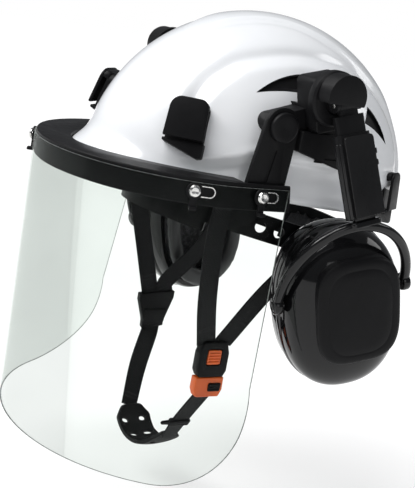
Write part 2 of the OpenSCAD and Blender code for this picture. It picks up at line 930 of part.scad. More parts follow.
module nape_housing() {
    color("black")
        band_frame()
            difference() {
                union() {
                    nape_ring(0, housing_half, housing_in, tail_out + 4, -housing_h / 2, housing_h / 2);
                    translate([0, housing_in + seat, 0]) rotate([-90, 0, 0])
                        cylinder(housing_out - housing_in - seat, r = 15);
                }
                nape_ring(0, housing_half + 2, tail_in - gap, tail_out + gap, 4.6, rack_z + tail_h + gap);
                nape_ring(0, housing_half + 2, tail_in - gap, tail_out + gap, -rack_z - tail_h - gap, -4.6);
                translate([0, tail_in - 3, 0]) rotate([-90, 0, 0]) cylinder(tail_out + 2 - tail_in + 3, r = 8.5);
                rotate([-90, 0, 0]) cylinder(far, r = 3.05);
            }
}

module nape_pad() {
    color("dimgray") band_frame() nape_ring(0, 33, housing_in - 4.5, housing_in - 0.3, -14, 14);
}

module ratchet_pinion() {
    color("black")
        band_frame()
            translate([0, tail_in + 0.1, 0]) rotate([-90, 0, 0])
                linear_extrude(tail_t - 0.2) {
                    circle(rack_z - tooth_h - 0.15);
                    for (k = [0:pinion_teeth - 1])
                        rotate([0, 0, k * 360 / pinion_teeth])
                            polygon([
                                [rack_z - tooth_h - 0.6, -0.75], [rack_z + tooth_h - 0.1, -0.4],
                                [rack_z + tooth_h - 0.1, 0.4], [rack_z - tooth_h - 0.6, 0.75]
                            ]);
                }
}

module ratchet_knob() {
    color("black")
        band_frame() {
            translate([0, tail_out + 0.1, 0]) rotate([-90, 0, 0]) cylinder(housing_out - tail_out + 3, r = 3);
            translate([0, housing_out + 0.5, 0]) rotate([-90, 0, 0])
                difference() {
                    cylinder(11, r = knob_r);
                    for (k = [0:19])
                        rotate([0, 0, k * 18]) translate([knob_r + 0.8, 0, -1]) cylinder(14, r = 1.8);
                    translate([0, 0, 9]) cylinder(5, r = knob_r - 5);
                }
        }
}

// ---- chin harness --------------------------------------------------------
buckle_at = [56, -34, -155];
buckle_size = [9, 27, 30];
divider_at = [-75, -19, -157];
chin_at = [-4, -46, -254];
chin_yaw = 8;
chin_depth = 34;
chin_sag = 21;
chin_wall = 2.6;
anchor_front = [86, -66, -6];
anchor_rear = [88, 64, -17];

module side_straps_left() {
    color("black") {
        ribbon(
            [anchor_front + [0, 0, -8], [81, -66, -50], [71, -57, -100], buckle_at + [2, -8, 18]],
            [[0, 1, 0], [0, 1, 0], [0, 1, 0], [0, 1, 0]], web_w, web_t
        );
        ribbon(
            [anchor_rear + [0, 0, -9], [85.6, 48, -38], [83.8, 22.5, -57], [73, -4, -92], buckle_at + [2, 8, 18.5]],
            [[0, 1, -0.8], [0, 1, -0.9], [0, 1, -0.8], [0, 1, -0.6], [0, 1, -0.4]], web_w, web_t
        );
    }
}

module side_straps_right() {
    color("black") {
        ribbon(
            [[-86, -61, -14.5], [-84, -51, -50], [-80, -37, -100], divider_at + [0, -6, 15]],
            [[0, 1, 0], [0, 1, 0], [0, 1, 0], [0, 1, 0]], web_w, web_t
        );
        ribbon(
            [[-88, 64, -26], [-84, 44, -66], [-77, 16, -106], divider_at + [0, 8, 24], divider_at + [0, 8, 15.2]],
            [[0, 1, -0.6], [0, 1, -0.7], [0, 1, -0.8], [0, 1, -0.4], [0, 1, 0]], web_w, web_t
        );
    }
}

module strap_anchors() {
    color("black")
        difference() {
            intersection() {
                both_sides() {
                    translate(anchor_front + [-4, -11, -8]) cube([9, 22, 14]);
                    translate(anchor_rear + [-5, -11, -9]) cube([9, 22, 14]);
                }
                shell_block(-shell_wall - seat);
            }
            side_straps_left();
            side_straps_right();
        }
}

module strap_divider() {
    color("black")
        translate(divider_at)
            difference() {
                union() {
                    across_x(-3, 3)
                        polygon([[-17, 12], [17, 15], [17, 9], [10, -14], [-10, -14], [-17, 6]]);
                    across_x(-4, 4) polygon([[-11, -2], [11, -2], [10, -14], [-10, -14]]);
                }
                translate([-web_t / 2 - seat, -web_w / 2 - seat, -20])
                    cube([web_t + 2 * seat, web_w + 2 * seat, 16]);
            }
}

module buckle_body() {
    color("black")
        translate(buckle_at)
            difference() {
                across_x(-buckle_size[0] / 2, buckle_size[0] / 2)
                    rounded_rect(buckle_size[1], buckle_size[2], 4);
                translate([-2.2, -9.2, -buckle_size[2] / 2 - 1]) cube([4.4, 18.4, 22]);
                translate([1, -6.3, -4.3]) cube([8, 12.6, 12.6]);
            }
}

module buckle_button() {
    color("orangered")
        translate(buckle_at + [2.5, -6, -4]) {
            cube([2.4, 12, 12]);
            for (k = [0:3]) translate([2.3, 0.5, 1 + k * 2.9]) cube([0.7, 11, 1.4]);
        }
}

module buckle_tongue() {
    color("orangered")
        translate(buckle_at + [0, 0, -buckle_size[2] / 2]) {
            translate([-2, -9, 0]) cube([3, 18, 19]);
            difference() {
                translate([-4, -13, -17]) cube([8, 26, 16.8]);
                translate([-web_t / 2 - seat, -web_w / 2 - seat, -18])
                    cube([web_t + 2 * seat, web_w + 2 * seat, 12]);
            }
        }
}

tongue_end = buckle_at + [0, 0, -buckle_size[2] / 2 - 18.8];

function chin_end(side) =
    chin_at + [side * chin_w / 2 * cos(chin_yaw), side * chin_w / 2 * sin(chin_yaw), chin_sag - 2];

module chin_strap_left() {
    end = chin_end(1);
    color("black")
        ribbon([tongue_end, mix(tongue_end, end, 0.5) + [0, -3, 0], end + [1.4, 0, 2]],
            [[0, 1, 0], [0, 1, 0], [-0.22, 0.97, 0]], web_w, web_t);
}

module chin_strap_right() {
    end = chin_end(-1);
    start = divider_at + [0, 0, -15];
    color("black")
        ribbon([start, start + [1, -1, -8], mix(start, end, 0.55) + [0, -2, 0], end + [-1.4, 0, 2]],
            [[0, 1, 0], [0, 1, 0], [0, 1, 0], [-0.22, 0.97, 0]], web_w, web_t);
}

chin_r = (pow(chin_w / 2, 2) + pow(chin_sag, 2)) / (2 * chin_sag);

module chin_cup() {
    half = asin(chin_w / 2 / chin_r);
    steps = 20;
    color("black")
        translate(chin_at) rotate([0, 0, chin_yaw])
            difference() {
                translate([0, chin_depth / 2, chin_r]) rotate([90, 0, 0])
                    linear_extrude(chin_depth)
                        polygon(concat(
                            [for (i = [0:steps]) let (a = mix(-half, half, i / steps)) chin_r * [sin(a), -cos(a)]],
                            [for (i = [steps:-1:0])
                                let (a = mix(-half, half, i / steps)) (chin_r - chin_wall) * [sin(a), -cos(a)]]
                        ));
                for (x = [-19.5, -6.5, 6.5, 19.5])
                    for (y = [-5, 5])
                        translate([x, y, -20]) cylinder(60, r = 3.6);
                for (x = [-19.5, -6.5, 6.5, 19.5])
                    translate([x - 3.6, -5, -20]) cube([7.2, 10, 60]);
            }
}

shell();
front_vents();
rear_vents();
headlamp_clip_bases();
clip_tab_front_left();
clip_tab_front_right();
clip_tab_rear_left();
clip_tab_rear_right();
side_sockets();
side_brackets();
visor_pivot_pins();
pivot_caps();
cradle_straps();
cradle_anchors();
crown_pad();
headband();
brow_pad();
nape_housing();
nape_pad();
ratchet_pinion();
ratchet_knob();
nape_tail_left();
nape_tail_right();
side_straps_left();
side_straps_right();
strap_anchors();
strap_divider();
buckle_body();
buckle_button();
buckle_tongue();
chin_strap_left();
chin_strap_right();
chin_cup();
brow_guard();
visor_arms();
visor();
visor_studs();
lock_front_left();
lock_rear_left();
lock_front_right();
lock_rear_right();
turret_left();
hinge_pin_left();
muff_arm_left();
yoke_left();
ear_cup_left();
cup_plate_left();
cup_foam_left();
cushion_left();
turret_right();
hinge_pin_right();
muff_arm_right();
yoke_right();
ear_cup_right();
cup_plate_right();
cup_foam_right();
cushion_right();
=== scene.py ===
import json
import math

import bmesh
import bpy
import numpy as np
from mathutils import Matrix, Vector

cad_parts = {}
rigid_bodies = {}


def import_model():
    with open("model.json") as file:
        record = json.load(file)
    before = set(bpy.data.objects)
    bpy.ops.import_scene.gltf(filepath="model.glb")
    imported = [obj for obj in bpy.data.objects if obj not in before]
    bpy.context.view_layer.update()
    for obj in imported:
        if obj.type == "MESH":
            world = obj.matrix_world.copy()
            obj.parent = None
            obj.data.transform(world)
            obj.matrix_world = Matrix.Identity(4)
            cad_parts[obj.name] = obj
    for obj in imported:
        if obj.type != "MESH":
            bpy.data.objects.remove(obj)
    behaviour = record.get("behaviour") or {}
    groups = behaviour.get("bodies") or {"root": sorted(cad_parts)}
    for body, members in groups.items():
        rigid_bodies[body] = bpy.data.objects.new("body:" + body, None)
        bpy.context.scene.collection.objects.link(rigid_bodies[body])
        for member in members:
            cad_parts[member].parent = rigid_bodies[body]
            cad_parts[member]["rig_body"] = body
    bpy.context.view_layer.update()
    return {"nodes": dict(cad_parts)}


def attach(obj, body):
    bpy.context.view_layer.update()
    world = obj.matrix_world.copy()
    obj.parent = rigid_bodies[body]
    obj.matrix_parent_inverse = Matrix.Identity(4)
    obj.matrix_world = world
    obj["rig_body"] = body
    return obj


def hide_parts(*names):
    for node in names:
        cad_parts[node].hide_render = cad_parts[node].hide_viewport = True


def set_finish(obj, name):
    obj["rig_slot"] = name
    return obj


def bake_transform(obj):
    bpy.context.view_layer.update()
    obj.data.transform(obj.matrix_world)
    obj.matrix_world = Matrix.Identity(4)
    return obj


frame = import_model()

MM = 0.001

# ---- camera ---------------------------------------------------------------
CAMERA_AZIMUTH = 58.156
CAMERA_ELEVATION = 13.172
CAMERA_ROLL = 10.272
CAMERA_DISTANCE = 0.91666
CAMERA_TARGET = Vector((-0.00961, -0.0156, -0.07955))
CAMERA_LENS = 80.82


def camera():
    """The camera that was fitted to the photograph."""
    az, el, roll = (math.radians(a) for a in (CAMERA_AZIMUTH, CAMERA_ELEVATION, CAMERA_ROLL))
    back = Vector((math.sin(az) * math.cos(el), -math.cos(az) * math.cos(el), math.sin(el)))
    right = (-back).cross(Vector((0, 0, 1))).normalized()
    up = right.cross(-back)
    x = right * math.cos(roll) + up * math.sin(roll)
    y = up * math.cos(roll) - right * math.sin(roll)
    data = bpy.data.cameras.new("camera")
    data.lens = CAMERA_LENS
    o = bpy.data.objects.new("camera", data)
    turn = Matrix((x, y, back)).transposed().to_4x4()
    o.matrix_world = Matrix.Translation(CAMERA_TARGET + back * CAMERA_DISTANCE) @ turn
    bpy.context.scene.collection.objects.link(o)
    bpy.context.scene.camera = o


camera()


# ---- sizes shared with the CAD model, in millimetres ------------------------
SHELL_W, SHELL_L, SHELL_H = 109, 138, 134.5
SHELL_WALL = 3
SHELL_MID_Z = -20
RIM_FRONT_Z, RIM_BACK_Z = -5, -27
PEAK_OUT, PEAK_BAND = 15, 9
CROWN_ANGLE = 90

GUARD_W, GUARD_REACH = 115.5, 104.5
GUARD_MID_Y, FRONT_ARC, HALF_ARC = -70, 173, 210
PLATE_GAP, PLATE_T = 1.8, 3
VISOR_FLARE, VISOR_LEAN = 0.0009, 0.11
VISOR_TOP, VISOR_T, VISOR_GAP = -3, 1.2, 0.2
LOCK_Z = -9
LOCKS = {"lock_front_left": 132, "lock_rear_left": 184, "lock_front_right": -64, "lock_rear_right": -184}
SLOT_W, SLOT_L = 7, 18
PIN_Y, PIN_Z, CAP_X = -46, 41, 111.3

TURRET_Y, TURRET_Z, MUFF_LEAN = -17, 67, 15
HINGE_X, HINGE_Y, HINGE_Z, ARM_SLOPE = 134.5, 3, -2, 14.4
CUP_X, CUP_DROP, CUP_TOE, CUP_BELOW = 130, 147, 10, 12
CUP_W, CUP_H, CUP_POWER = 47, 63.5, 2.3
CUP_BACK, CUP_MAX_X, DOME_D, DOME_FRONT = -30, -6, 33, 62
HOOP_W, HOOP_R, HOOP_TOP = 52, 3.6, -86.7
CUSHION_T = 12

BAND_Z, BAND_Y, BAND_TILT, NAPE_R, BAND_FRONT = -46, 20, 11, 79, 117
WEB_W, WEB_T = 16, 1.6
BUCKLE, BUCKLE_HALF = Vector((56, -34, -155)), 15
DIVIDER = Vector((-75, -19, -157))
CHIN = Vector((-4, -46, -254))
CHIN_W, CHIN_YAW, CHIN_DEPTH, CHIN_SAG, CHIN_WALL = 60, 8, 34, 21, 2.6


def rot(axis, degrees):
    return Matrix.Rotation(math.radians(degrees), 4, axis)


def move(x, y, z):
    return Matrix.Translation((x, y, z))


MUFF = move(0, TURRET_Y, TURRET_Z) @ rot("X", MUFF_LEAN)
ARM = MUFF @ move(HINGE_X, HINGE_Y, HINGE_Z) @ rot("Y", -ARM_SLOPE)
CUP = MUFF @ move(CUP_X, 0, -CUP_DROP) @ rot("Z", -CUP_TOE)
BAND = move(0, 0, BAND_Z) @ rot("X", -BAND_TILT) @ move(0, BAND_Y, 0)
MIRROR = Matrix.Diagonal((-1, 1, 1, 1))


# ---- small helpers ----------------------------------------------------------
def mix(a, b, t):
    return a * (1 - t) + b * t


def smooth(t):
    t = np.clip(t, 0, 1)
    return t * t * (3 - 2 * t)


def spow(v, p):
    return math.copysign(abs(v) ** p, v)


def link(name, data):
    o = bpy.data.objects.new(name, data)
    bpy.context.scene.collection.objects.link(o)
    return o


def clean(mesh, merge=0.0, flat=0.0):
    """Joins points within merge metres, takes out edges flatter than flat degrees, turns faces outward."""
    bm = bmesh.new()
    bm.from_mesh(mesh)
    if merge:
        bmesh.ops.remove_doubles(bm, verts=bm.verts, dist=merge)
    if flat:
        limit = math.radians(flat)
        bmesh.ops.dissolve_limit(bm, angle_limit=limit, verts=bm.verts, edges=bm.edges, delimit={"NORMAL"})
    bmesh.ops.recalc_face_normals(bm, faces=bm.faces)
    bm.to_mesh(mesh)
    bm.free()


def raw(verts, faces, name="cutter", uvs=None):
    """An object from points in millimetres: a cutter, or a piece that isn't finished yet."""
    mesh = bpy.data.meshes.new(name)
    mesh.from_pydata([Vector(v) * MM for v in verts], [], faces)
    if uvs is not None:
        layer = mesh.uv_layers.new(name="UVMap")
        for loop in mesh.loops:
            layer.data[loop.index].uv = uvs[loop.vertex_index]
    clean(mesh)
    return link(name, mesh)


def finish(o, name, material, body, node=None, angle=35):
    """Gives a piece its name, material, shading, body and slot, and the CAD node it stands for."""
    o.name = name
    o.data.materials.clear()
    o.data.materials.append(material)
    o.data.shade_smooth()
    o.data.set_sharp_from_angle(angle=math.radians(angle))
    if body:
        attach(o, body)
    if node:
        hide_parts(node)
    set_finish(o, SLOTS[material.name])
    return o


def apply_modifiers(o):
    depsgraph = bpy.context.evaluated_depsgraph_get()
    mesh = bpy.data.meshes.new_from_object(o.evaluated_get(depsgraph), depsgraph=depsgraph)
    old = o.data
    o.modifiers.clear()
    o.data = mesh
    bpy.data.meshes.remove(old)


def boolean(o, cutter, operation="DIFFERENCE"):
    m = o.modifiers.new("cut", "BOOLEAN")
    m.operation = operation
    m.solver = "EXACT"
    m.object = cutter
    apply_modifiers(o)
    bpy.data.objects.remove(cutter, do_unlink=True)


def bevel(o, width, segments=2, angle=30):
    m = o.modifiers.new("bevel", "BEVEL")
    m.width = width * MM
    m.segments = segments
    m.limit_method = "ANGLE"
    m.angle_limit = math.radians(angle)
    m.harden_normals = False
    m.miter_outer = "MITER_ARC"
    apply_modifiers(o)


def skin(rings, closed=True, caps=True):
    """Vertices and faces of a surface through rings with equal numbers of points."""
    n = len(rings[0])
    verts = [p for ring in rings for p in ring]
    faces = []
    for j in range(len(rings) - 1):
        for i in range(n if closed else n - 1):
            k = (i + 1) % n
            faces.append((j * n + i, j * n + k, (j + 1) * n + k, (j + 1) * n + i))
    if caps:
        faces += [tuple(range(n - 1, -1, -1)), tuple((len(rings) - 1) * n + i for i in range(n))]
    return verts, faces


def placed(verts, matrix):
    return [matrix @ Vector(v) for v in verts]


def add(verts, faces, more_verts, more_faces):
    """Adds a second surface's points and faces to the first's lists."""
    faces += [tuple(k + len(verts) for k in face) for face in more_faces]
    verts += more_verts


def soften(node, material, width=0.6, segments=2):
    """A piece with the CAD node's own shape and rounded edges, standing for it."""
    source = frame["nodes"][node]
    o = link(node + "_moulded", source.data.copy())
    clean(o.data, merge=0.00001, flat=1.5)
    if width:
        bevel(o, width, segments)
    return finish(o, node + "_moulded", material, source["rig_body"], node)


# ---- materials --------------------------------------------------------------
class Nodes:
    """A material's node tree, with short calls to add and join nodes."""

    def __init__(self, name):
        self.material = bpy.data.materials.new(name)
        self.material.use_nodes = True
        self.tree = self.material.node_tree
        self.shader = self.tree.nodes["Principled BSDF"]
        self.out = self.tree.nodes["Material Output"]
        self.coords = self.tree.nodes.new("ShaderNodeTexCoord")

    def add(self, kind, **values):
        n = self.tree.nodes.new(kind)
        for key, value in values.items():
            if key in n.inputs:
                n.inputs[key].default_value = value
            else:
                setattr(n, key, value)
        return n

    def join(self, a, b):
        self.tree.links.new(a, b)

    def math(self, operation, a, b=None):
        n = self.add("ShaderNodeMath", operation=operation)
        for socket, value in zip(n.inputs, (a, b)):
            if value is None:
                continue
            if isinstance(value, (int, float)):
                socket.default_value = value
            else:
                self.join(value, socket)
        return n.outputs[0]

    def noise(self, scale, detail=3, stretch=None, roughness=0.55):
        n = self.add("ShaderNodeTexNoise", Scale=scale, Detail=detail, Roughness=roughness)
        source = self.coords.outputs["Object"]
        if stretch:
            m = self.add("ShaderNodeMapping")
            m.inputs["Scale"].default_value = stretch
            self.join(source, m.inputs["Vector"])
            source = m.outputs[0]
        self.join(source, n.inputs["Vector"])
        return n.outputs["Fac"]

    def cells(self, scale, feature="DISTANCE_TO_EDGE"):
        n = self.add("ShaderNodeTexVoronoi", Scale=scale, feature=feature)
        self.join(self.coords.outputs["Object"], n.inputs["Vector"])
        return n.outputs["Distance"]

    def range(self, value, low, high, start=0.3, end=0.7):
        n = self.add("ShaderNodeMapRange")
        self.join(value, n.inputs["Value"])
        for key, v in (("From Min", start), ("From Max", end), ("To Min", low), ("To Max", high)):
            n.inputs[key].default_value = v
        return n.outputs["Result"]

    def colour(self, value, dark, light, start=0.35, end=0.65):
        n = self.add("ShaderNodeValToRGB")
        n.color_ramp.elements[0].position, n.color_ramp.elements[1].position = start, end
        n.color_ramp.elements[0].color = (*dark, 1)
        n.color_ramp.elements[1].color = (*light, 1)
        self.join(value, n.inputs[0])
        self.join(n.outputs["Color"], self.shader.inputs["Base Color"])
        return n

    def rough(self, value, low, high, start=0.3, end=0.7):
        self.join(self.range(value, low, high, start, end), self.shader.inputs["Roughness"])

    def bump(self, height, strength, distance):
        n = self.add("ShaderNodeBump", Strength=strength, Distance=distance)
        self.join(height, n.inputs["Height"])
        if self.shader.inputs["Normal"].is_linked:
            self.join(self.shader.inputs["Normal"].links[0].from_socket, n.inputs["Normal"])
        self.join(n.outputs[0], self.shader.inputs["Normal"])

    def set(self, **values):
        for key, value in values.items():
            self.shader.inputs[key.replace("_", " ")].default_value = value


def shell_material():
    m = Nodes("shell_gloss")
    m.colour(m.noise(9, 4), (0.78, 0.795, 0.82), (0.84, 0.85, 0.865))
    scratches = m.noise(260, 2, stretch=(1, 0.08, 0.5))
    wear = m.math("ADD", m.math("MULTIPLY", scratches, 0.4), m.math("MULTIPLY", m.noise(30), 0.6))
    m.rough(wear, 0.14, 0.26)
    m.bump(m.noise(420, 2), 0.05, 0.0002)
    m.set(Coat_Weight=0.5, Coat_Roughness=0.05, IOR=1.5)
    return m.material


def moulded_plastic(name, dark, light, low, high, grain=1900, strength=0.22, coat=0.0, specular=0.12):
    """Injection-moulded plastic: a fine spark-eroded grain, faint flow marks and handling wear."""
    m = Nodes(name)
    flow = m.noise(22, 4, stretch=(1, 1, 0.4))
    m.colour(flow, dark, light)
    m.rough(m.math("ADD", m.math("MULTIPLY", m.noise(150), 0.5), m.math("MULTIPLY", flow, 0.5)), low, high)
    m.bump(m.noise(grain, 2), strength, 0.0001)
    m.bump(m.noise(60, 2), 0.06, 0.0006)
    m.set(Coat_Weight=coat, Coat_Roughness=0.05, Specular_IOR_Level=specular)
    return m.material


def webbing_material():
    """Woven polyester: bumps of warp and weft from the strap's own length and width in metres."""
    m = Nodes("webbing_weave")
    uv = m.add("ShaderNodeSeparateXYZ")
    m.join(m.coords.outputs["UV"], uv.inputs[0])
    across = m.math("DIVIDE", uv.outputs[0], 0.00125)
    column = m.math("FLOOR", across)
    along = m.math("ADD", m.math("DIVIDE", uv.outputs[1], 0.0017), m.math("MULTIPLY", column, 0.5))
    humps = []
    for value in (across, along):
        centred = m.math("SUBTRACT", m.math("FRACT", value), 0.5)
        humps.append(m.math("SUBTRACT", 1.0, m.math("MULTIPLY", m.math("MULTIPLY", centred, centred), 3.6)))
    weave = m.math("MULTIPLY", humps[0], humps[1])
    m.bump(weave, 0.9, 0.0004)
    m.bump(m.noise(4000, 2), 0.3, 0.00008)
    # Painted shade: the colour is darker in the gaps between the yarns, where the weave is low, mixed with a
    # slow random tone.
    painted_gap_shade_and_tone = m.math("ADD", m.math("MULTIPLY", weave, 0.7), m.math("MULTIPLY", m.noise(35, 3), 0.3))
    m.colour(painted_gap_shade_and_tone, (0.003, 0.003, 0.0035), (0.013, 0.013, 0.0145), 0.1, 0.85)
    m.rough(weave, 0.62, 0.82)
    m.set(Sheen_Weight=0.06, Sheen_Roughness=0.4, Specular_IOR_Level=0.2)
    return m.material


def knit_material():
    m = Nodes("pad_knit")
    loops = m.cells(620, "F1")
    # Painted shade: the colour is darker at the bottom of each knit pit, where the bump is low, mixed with a
    # random tone.
    painted_gap_shade_and_tone = m.math("ADD", m.math("MULTIPLY", loops, 300), m.noise(25))
    m.colour(painted_gap_shade_and_tone, (0.008, 0.008, 0.009), (0.022, 0.022, 0.024))
    m.rough(m.noise(90), 0.82, 0.95)
    m.bump(loops, 0.7, 0.0006)
    m.set(Sheen_Weight=0.15, Sheen_Roughness=0.5, Specular_IOR_Level=0.2)
    return m.material


def foam_material():
    m = Nodes("acoustic_foam")
    pores = m.cells(420, "F1")
    m.colour(m.noise(240, 4), (0.035, 0.035, 0.038), (0.1, 0.1, 0.105))
    m.rough(m.noise(80), 0.9, 1.0)
    m.bump(pores, 1.0, 0.0012)
    return m.material


def cushion_material():
    """Soft PVC film: shallow wrinkles over a fine pebble grain."""
    m = Nodes("cushion_film")
    m.colour(m.noise(30, 4), (0.008, 0.008, 0.009), (0.022, 0.022, 0.024))
    m.rough(m.noise(120), 0.34, 0.52)
    m.bump(m.cells(900), 0.35, 0.0002)
    m.bump(m.noise(55, 3, stretch=(1, 1, 0.35)), 0.3, 0.0012)
    return m.material


def orange_material():
    m = Nodes("orange_acetal")
    m.colour(m.noise(70, 3), (0.62, 0.085, 0.008), (0.8, 0.13, 0.012))
    m.rough(m.noise(160), 0.3, 0.46)
    m.bump(m.noise(1500, 2), 0.2, 0.0001)
    return m.material


def steel_material():
    m = Nodes("bright_steel")
    brushed = m.noise(500, 2, stretch=(0.1, 1, 1))
    m.colour(brushed, (0.55, 0.55, 0.55), (0.8, 0.79, 0.76))
    m.rough(brushed, 0.16, 0.34)
    m.bump(brushed, 0.1, 0.0001)
    m.set(Metallic=1.0)
    return m.material


def visor_material():
    """Thin clear polycarbonate: light passes through with a faint tint, and it mirrors at a slant."""
    m = Nodes("clear_sheet")
    haze = m.noise(14, 3)
    m.colour(haze, (0.012, 0.014, 0.013), (0.02, 0.022, 0.021))
    m.rough(m.noise(60), 0.03, 0.07)
    clear = m.add("ShaderNodeBsdfTransparent", Color=(0.94, 0.957, 0.945, 1))
    fresnel = m.add("ShaderNodeFresnel", IOR=1.45)
    share = m.math("ADD", m.math("MULTIPLY", fresnel.outputs[0], 0.16), m.range(haze, 0.006, 0.016))
    both = m.add("ShaderNodeMixShader")
    m.join(share, both.inputs[0])
    m.join(clear.outputs[0], both.inputs[1])
    m.join(m.shader.outputs[0], both.inputs[2])
    m.join(both.outputs[0], m.out.inputs["Surface"])
    return m.material


# Painted shade: the clear sheet's cut edge faces get this opaque grey, standing for the dark line that light
# makes along a clear edge.
def visor_edge_painted_shade_material():
    m = Nodes("sheet_edge_painted_shade")
    m.colour(m.noise(300, 2), (0.12, 0.13, 0.125), (0.3, 0.32, 0.31))
    m.rough(m.noise(500), 0.25, 0.45)
    m.bump(m.noise(900, 2), 0.2, 0.0001)
    return m.material


def floor_material():
    m = Nodes("studio_floor")
    m.colour(m.noise(3, 3), (0.36, 0.36, 0.36), (0.39, 0.39, 0.39))
    m.rough(m.noise(8), 0.7, 0.85)
    m.set(Emission_Color=(1, 1, 1, 1), Emission_Strength=0.68, Specular_IOR_Level=0.1)
    return m.material


SHELL_WHITE = shell_material()
SATIN = moulded_plastic("black_satin", (0.0035, 0.0035, 0.004), (0.0075, 0.0075, 0.0082), 0.34, 0.5)
MATTE = moulded_plastic(
    "black_matte", (0.004, 0.004, 0.0045), (0.007, 0.007, 0.0078), 0.4, 0.52, strength=0.25
)
GLOSS = moulded_plastic(
    "black_gloss", (0.004, 0.004, 0.0045), (0.007, 0.007, 0.0075), 0.05, 0.12, 420, 0.03, 0.2, 0.2
)
WEBBING = webbing_material()
KNIT = knit_material()
FOAM = foam_material()
FILM = cushion_material()
ORANGE = orange_material()
STEEL = steel_material()
GLOSS_SATIN = moulded_plastic(
    "black_semigloss", (0.006, 0.006, 0.0065), (0.011, 0.011, 0.0115), 0.16, 0.26, 900, 0.1, 0.15, 0.22
)
RUBBER = moulded_plastic("black_rubber", (0.008, 0.008, 0.0085), (0.014, 0.014, 0.015), 0.42, 0.6, 1400, 0.4)
THREAD = moulded_plastic("sewing_thread", (0.03, 0.03, 0.032), (0.055, 0.055, 0.058), 0.55, 0.7, 2600, 0.6)
CLEAR = visor_material()
# painted shade for the visor's cut edges
CLEAR_EDGE_PAINTED_SHADE = visor_edge_painted_shade_material()
SLOTS = {m.name: "black_satin" for m in (SATIN, MATTE, GLOSS_SATIN, RUBBER)}
SLOTS |= {SHELL_WHITE.name: "shell_white", GLOSS.name: "black_gloss", CLEAR.name: "clear_visor"}
SLOTS |= {STEEL.name: "bright_steel", ORANGE.name: "orange_plastic"}
SLOTS |= {WEBBING.name: "webbing", THREAD.name: "webbing"}
SLOTS |= {KNIT.name: "padding", FOAM.name: "foam", FILM.name: "cushion_skin"}


# ---- shell ------------------------------------------------------------------
SHELL_AROUND, SHELL_UP = 240, 84
# the side panel's arch, the crown panel's half width and the skirt's ledge, along the side of the shell
PANEL = [
    (-91, 10), (-91, 40), (-84, 55), (-72, 67), (-51, 79), (-9, 87),
    (36, 82), (63, 71), (82, 52), (92, 28), (94, 2),
]
CROWN = [(-74, 12), (-66, 16), (-46, 19), (-5, 29), (30, 45), (71, 60), (112, 62)]
LEDGE = [(-125, 6), (-86, 8), (-53, 18), (-20, 19), (20, 14), (60, 5), (110, -6)]
PANEL_RISE, GROOVE_DEPTH, GROOVE_HALF = 1.8, 1.9, 3.4
CROWN_RISE, CROWN_BLEND = 1.5, 6
SKIRT_DEPTH, LIP_RISE = 3.2, 1.0


def rim_z(az):
    return mix(RIM_FRONT_Z, RIM_BACK_Z, (1 - np.cos(az)) / 2)


def dome_point(az, e, inset):
    """A point of the shell's plain dome: az in radians round from the front, e the height angle."""
    w, l, h = SHELL_W - inset, SHELL_L - inset, SHELL_H - inset
    z = SHELL_MID_Z + h * np.sin(e)
    a = np.abs((az + math.pi) % (2 * math.pi) - math.pi)
    peak = np.where(a < math.pi / 3, PEAK_OUT * np.cos(np.minimum(a, math.pi / 3) * 1.5) ** 2, 0)
    out = peak * np.exp(-(((z - rim_z(az)) / PEAK_BAND) ** 2))
    return np.stack([w * np.cos(e) * np.sin(az), -(l * np.cos(e) + out * np.cos(az)) * np.cos(az), z], -1)


def distance_to(points, line):
    """Distance from each (n, 2) point to a polyline."""
    best = np.full(len(points), 1e9)
    for a, b in zip(line, line[1:]):
        a, b = np.array(a, float), np.array(b, float)
        t = np.clip(((points - a) @ (b - a)) / ((b - a) @ (b - a)), 0, 1)
        best = np.minimum(best, np.linalg.norm(points - a - t[:, None] * (b - a), axis=1))
    return best


def rounded_line(line, steps=8):
    """A smooth curve through the points of a line."""
    pts = [np.array(p, float) for p in line]
    pts = [2 * pts[0] - pts[1], *pts, 2 * pts[-1] - pts[-2]]
    out = []
    for a, b, c, d in zip(pts, pts[1:], pts[2:], pts[3:]):
        for i in range(steps):
            t = i / steps
            low = 2 * b + (c - a) * t + (2 * a - 5 * b + 4 * c - d) * t * t
            out.append(0.5 * (low + (3 * b - a - 3 * c + d) * t**3))
    return out + [pts[-2]]


def shell_relief(p):
    """How far the moulded panels, grooves and skirt stand off the plain dome, in millimetres."""
    side = np.stack([p[:, 1], p[:, 2]], -1)
    arch = np.array(rounded_line(PANEL))
    gap = distance_to(side, arch)
    top = np.interp(p[:, 1], arch[:, 0], arch[:, 1], left=-99, right=-99)
    inside = np.where((p[:, 2] < top) & (np.abs(p[:, 0]) > 30), gap, -gap)
    fade = smooth((p[:, 2] - 2) / 18)
    off_side = smooth((np.abs(p[:, 0]) - 34) / 16)
    relief = PANEL_RISE * smooth(inside / 7) * fade * off_side
    relief -= GROOVE_DEPTH * np.exp(-(((inside + GROOVE_HALF) / GROOVE_HALF) ** 2)) * off_side * fade
    crown = np.array(rounded_line(CROWN))
    half = np.interp(p[:, 1], crown[:, 0], crown[:, 1], left=0, right=0)
    over = smooth((half - np.abs(p[:, 0])) / CROWN_BLEND) * smooth((p[:, 2] - 40) / 30)
    ends = smooth((p[:, 1] + 78) / 34) * smooth((118 - p[:, 1]) / 30)
    relief += CROWN_RISE * over * ends
    edge = np.exp(-(((np.abs(p[:, 0]) - half - 3) / 3.5) ** 2))
    relief -= 0.5 * edge * ends * smooth((p[:, 2] - 50) / 20)
    ledge = np.interp(p[:, 1], [q[0] for q in LEDGE], [q[1] for q in LEDGE])
    reach = smooth((p[:, 1] + 118) / 40) * smooth((np.abs(p[:, 0]) - 30) / 30)
    relief += LIP_RISE * np.exp(-(((p[:, 2] - ledge - 2) / 3) ** 2)) * reach
    relief -= SKIRT_DEPTH * smooth((ledge - p[:, 2]) / 7) * reach
    lip = np.exp(-(((p[:, 2] - rim_z(np.arctan2(p[:, 0], -p[:, 1])) - 2) / 2.6) ** 2))
    return relief + 1.1 * lip * reach


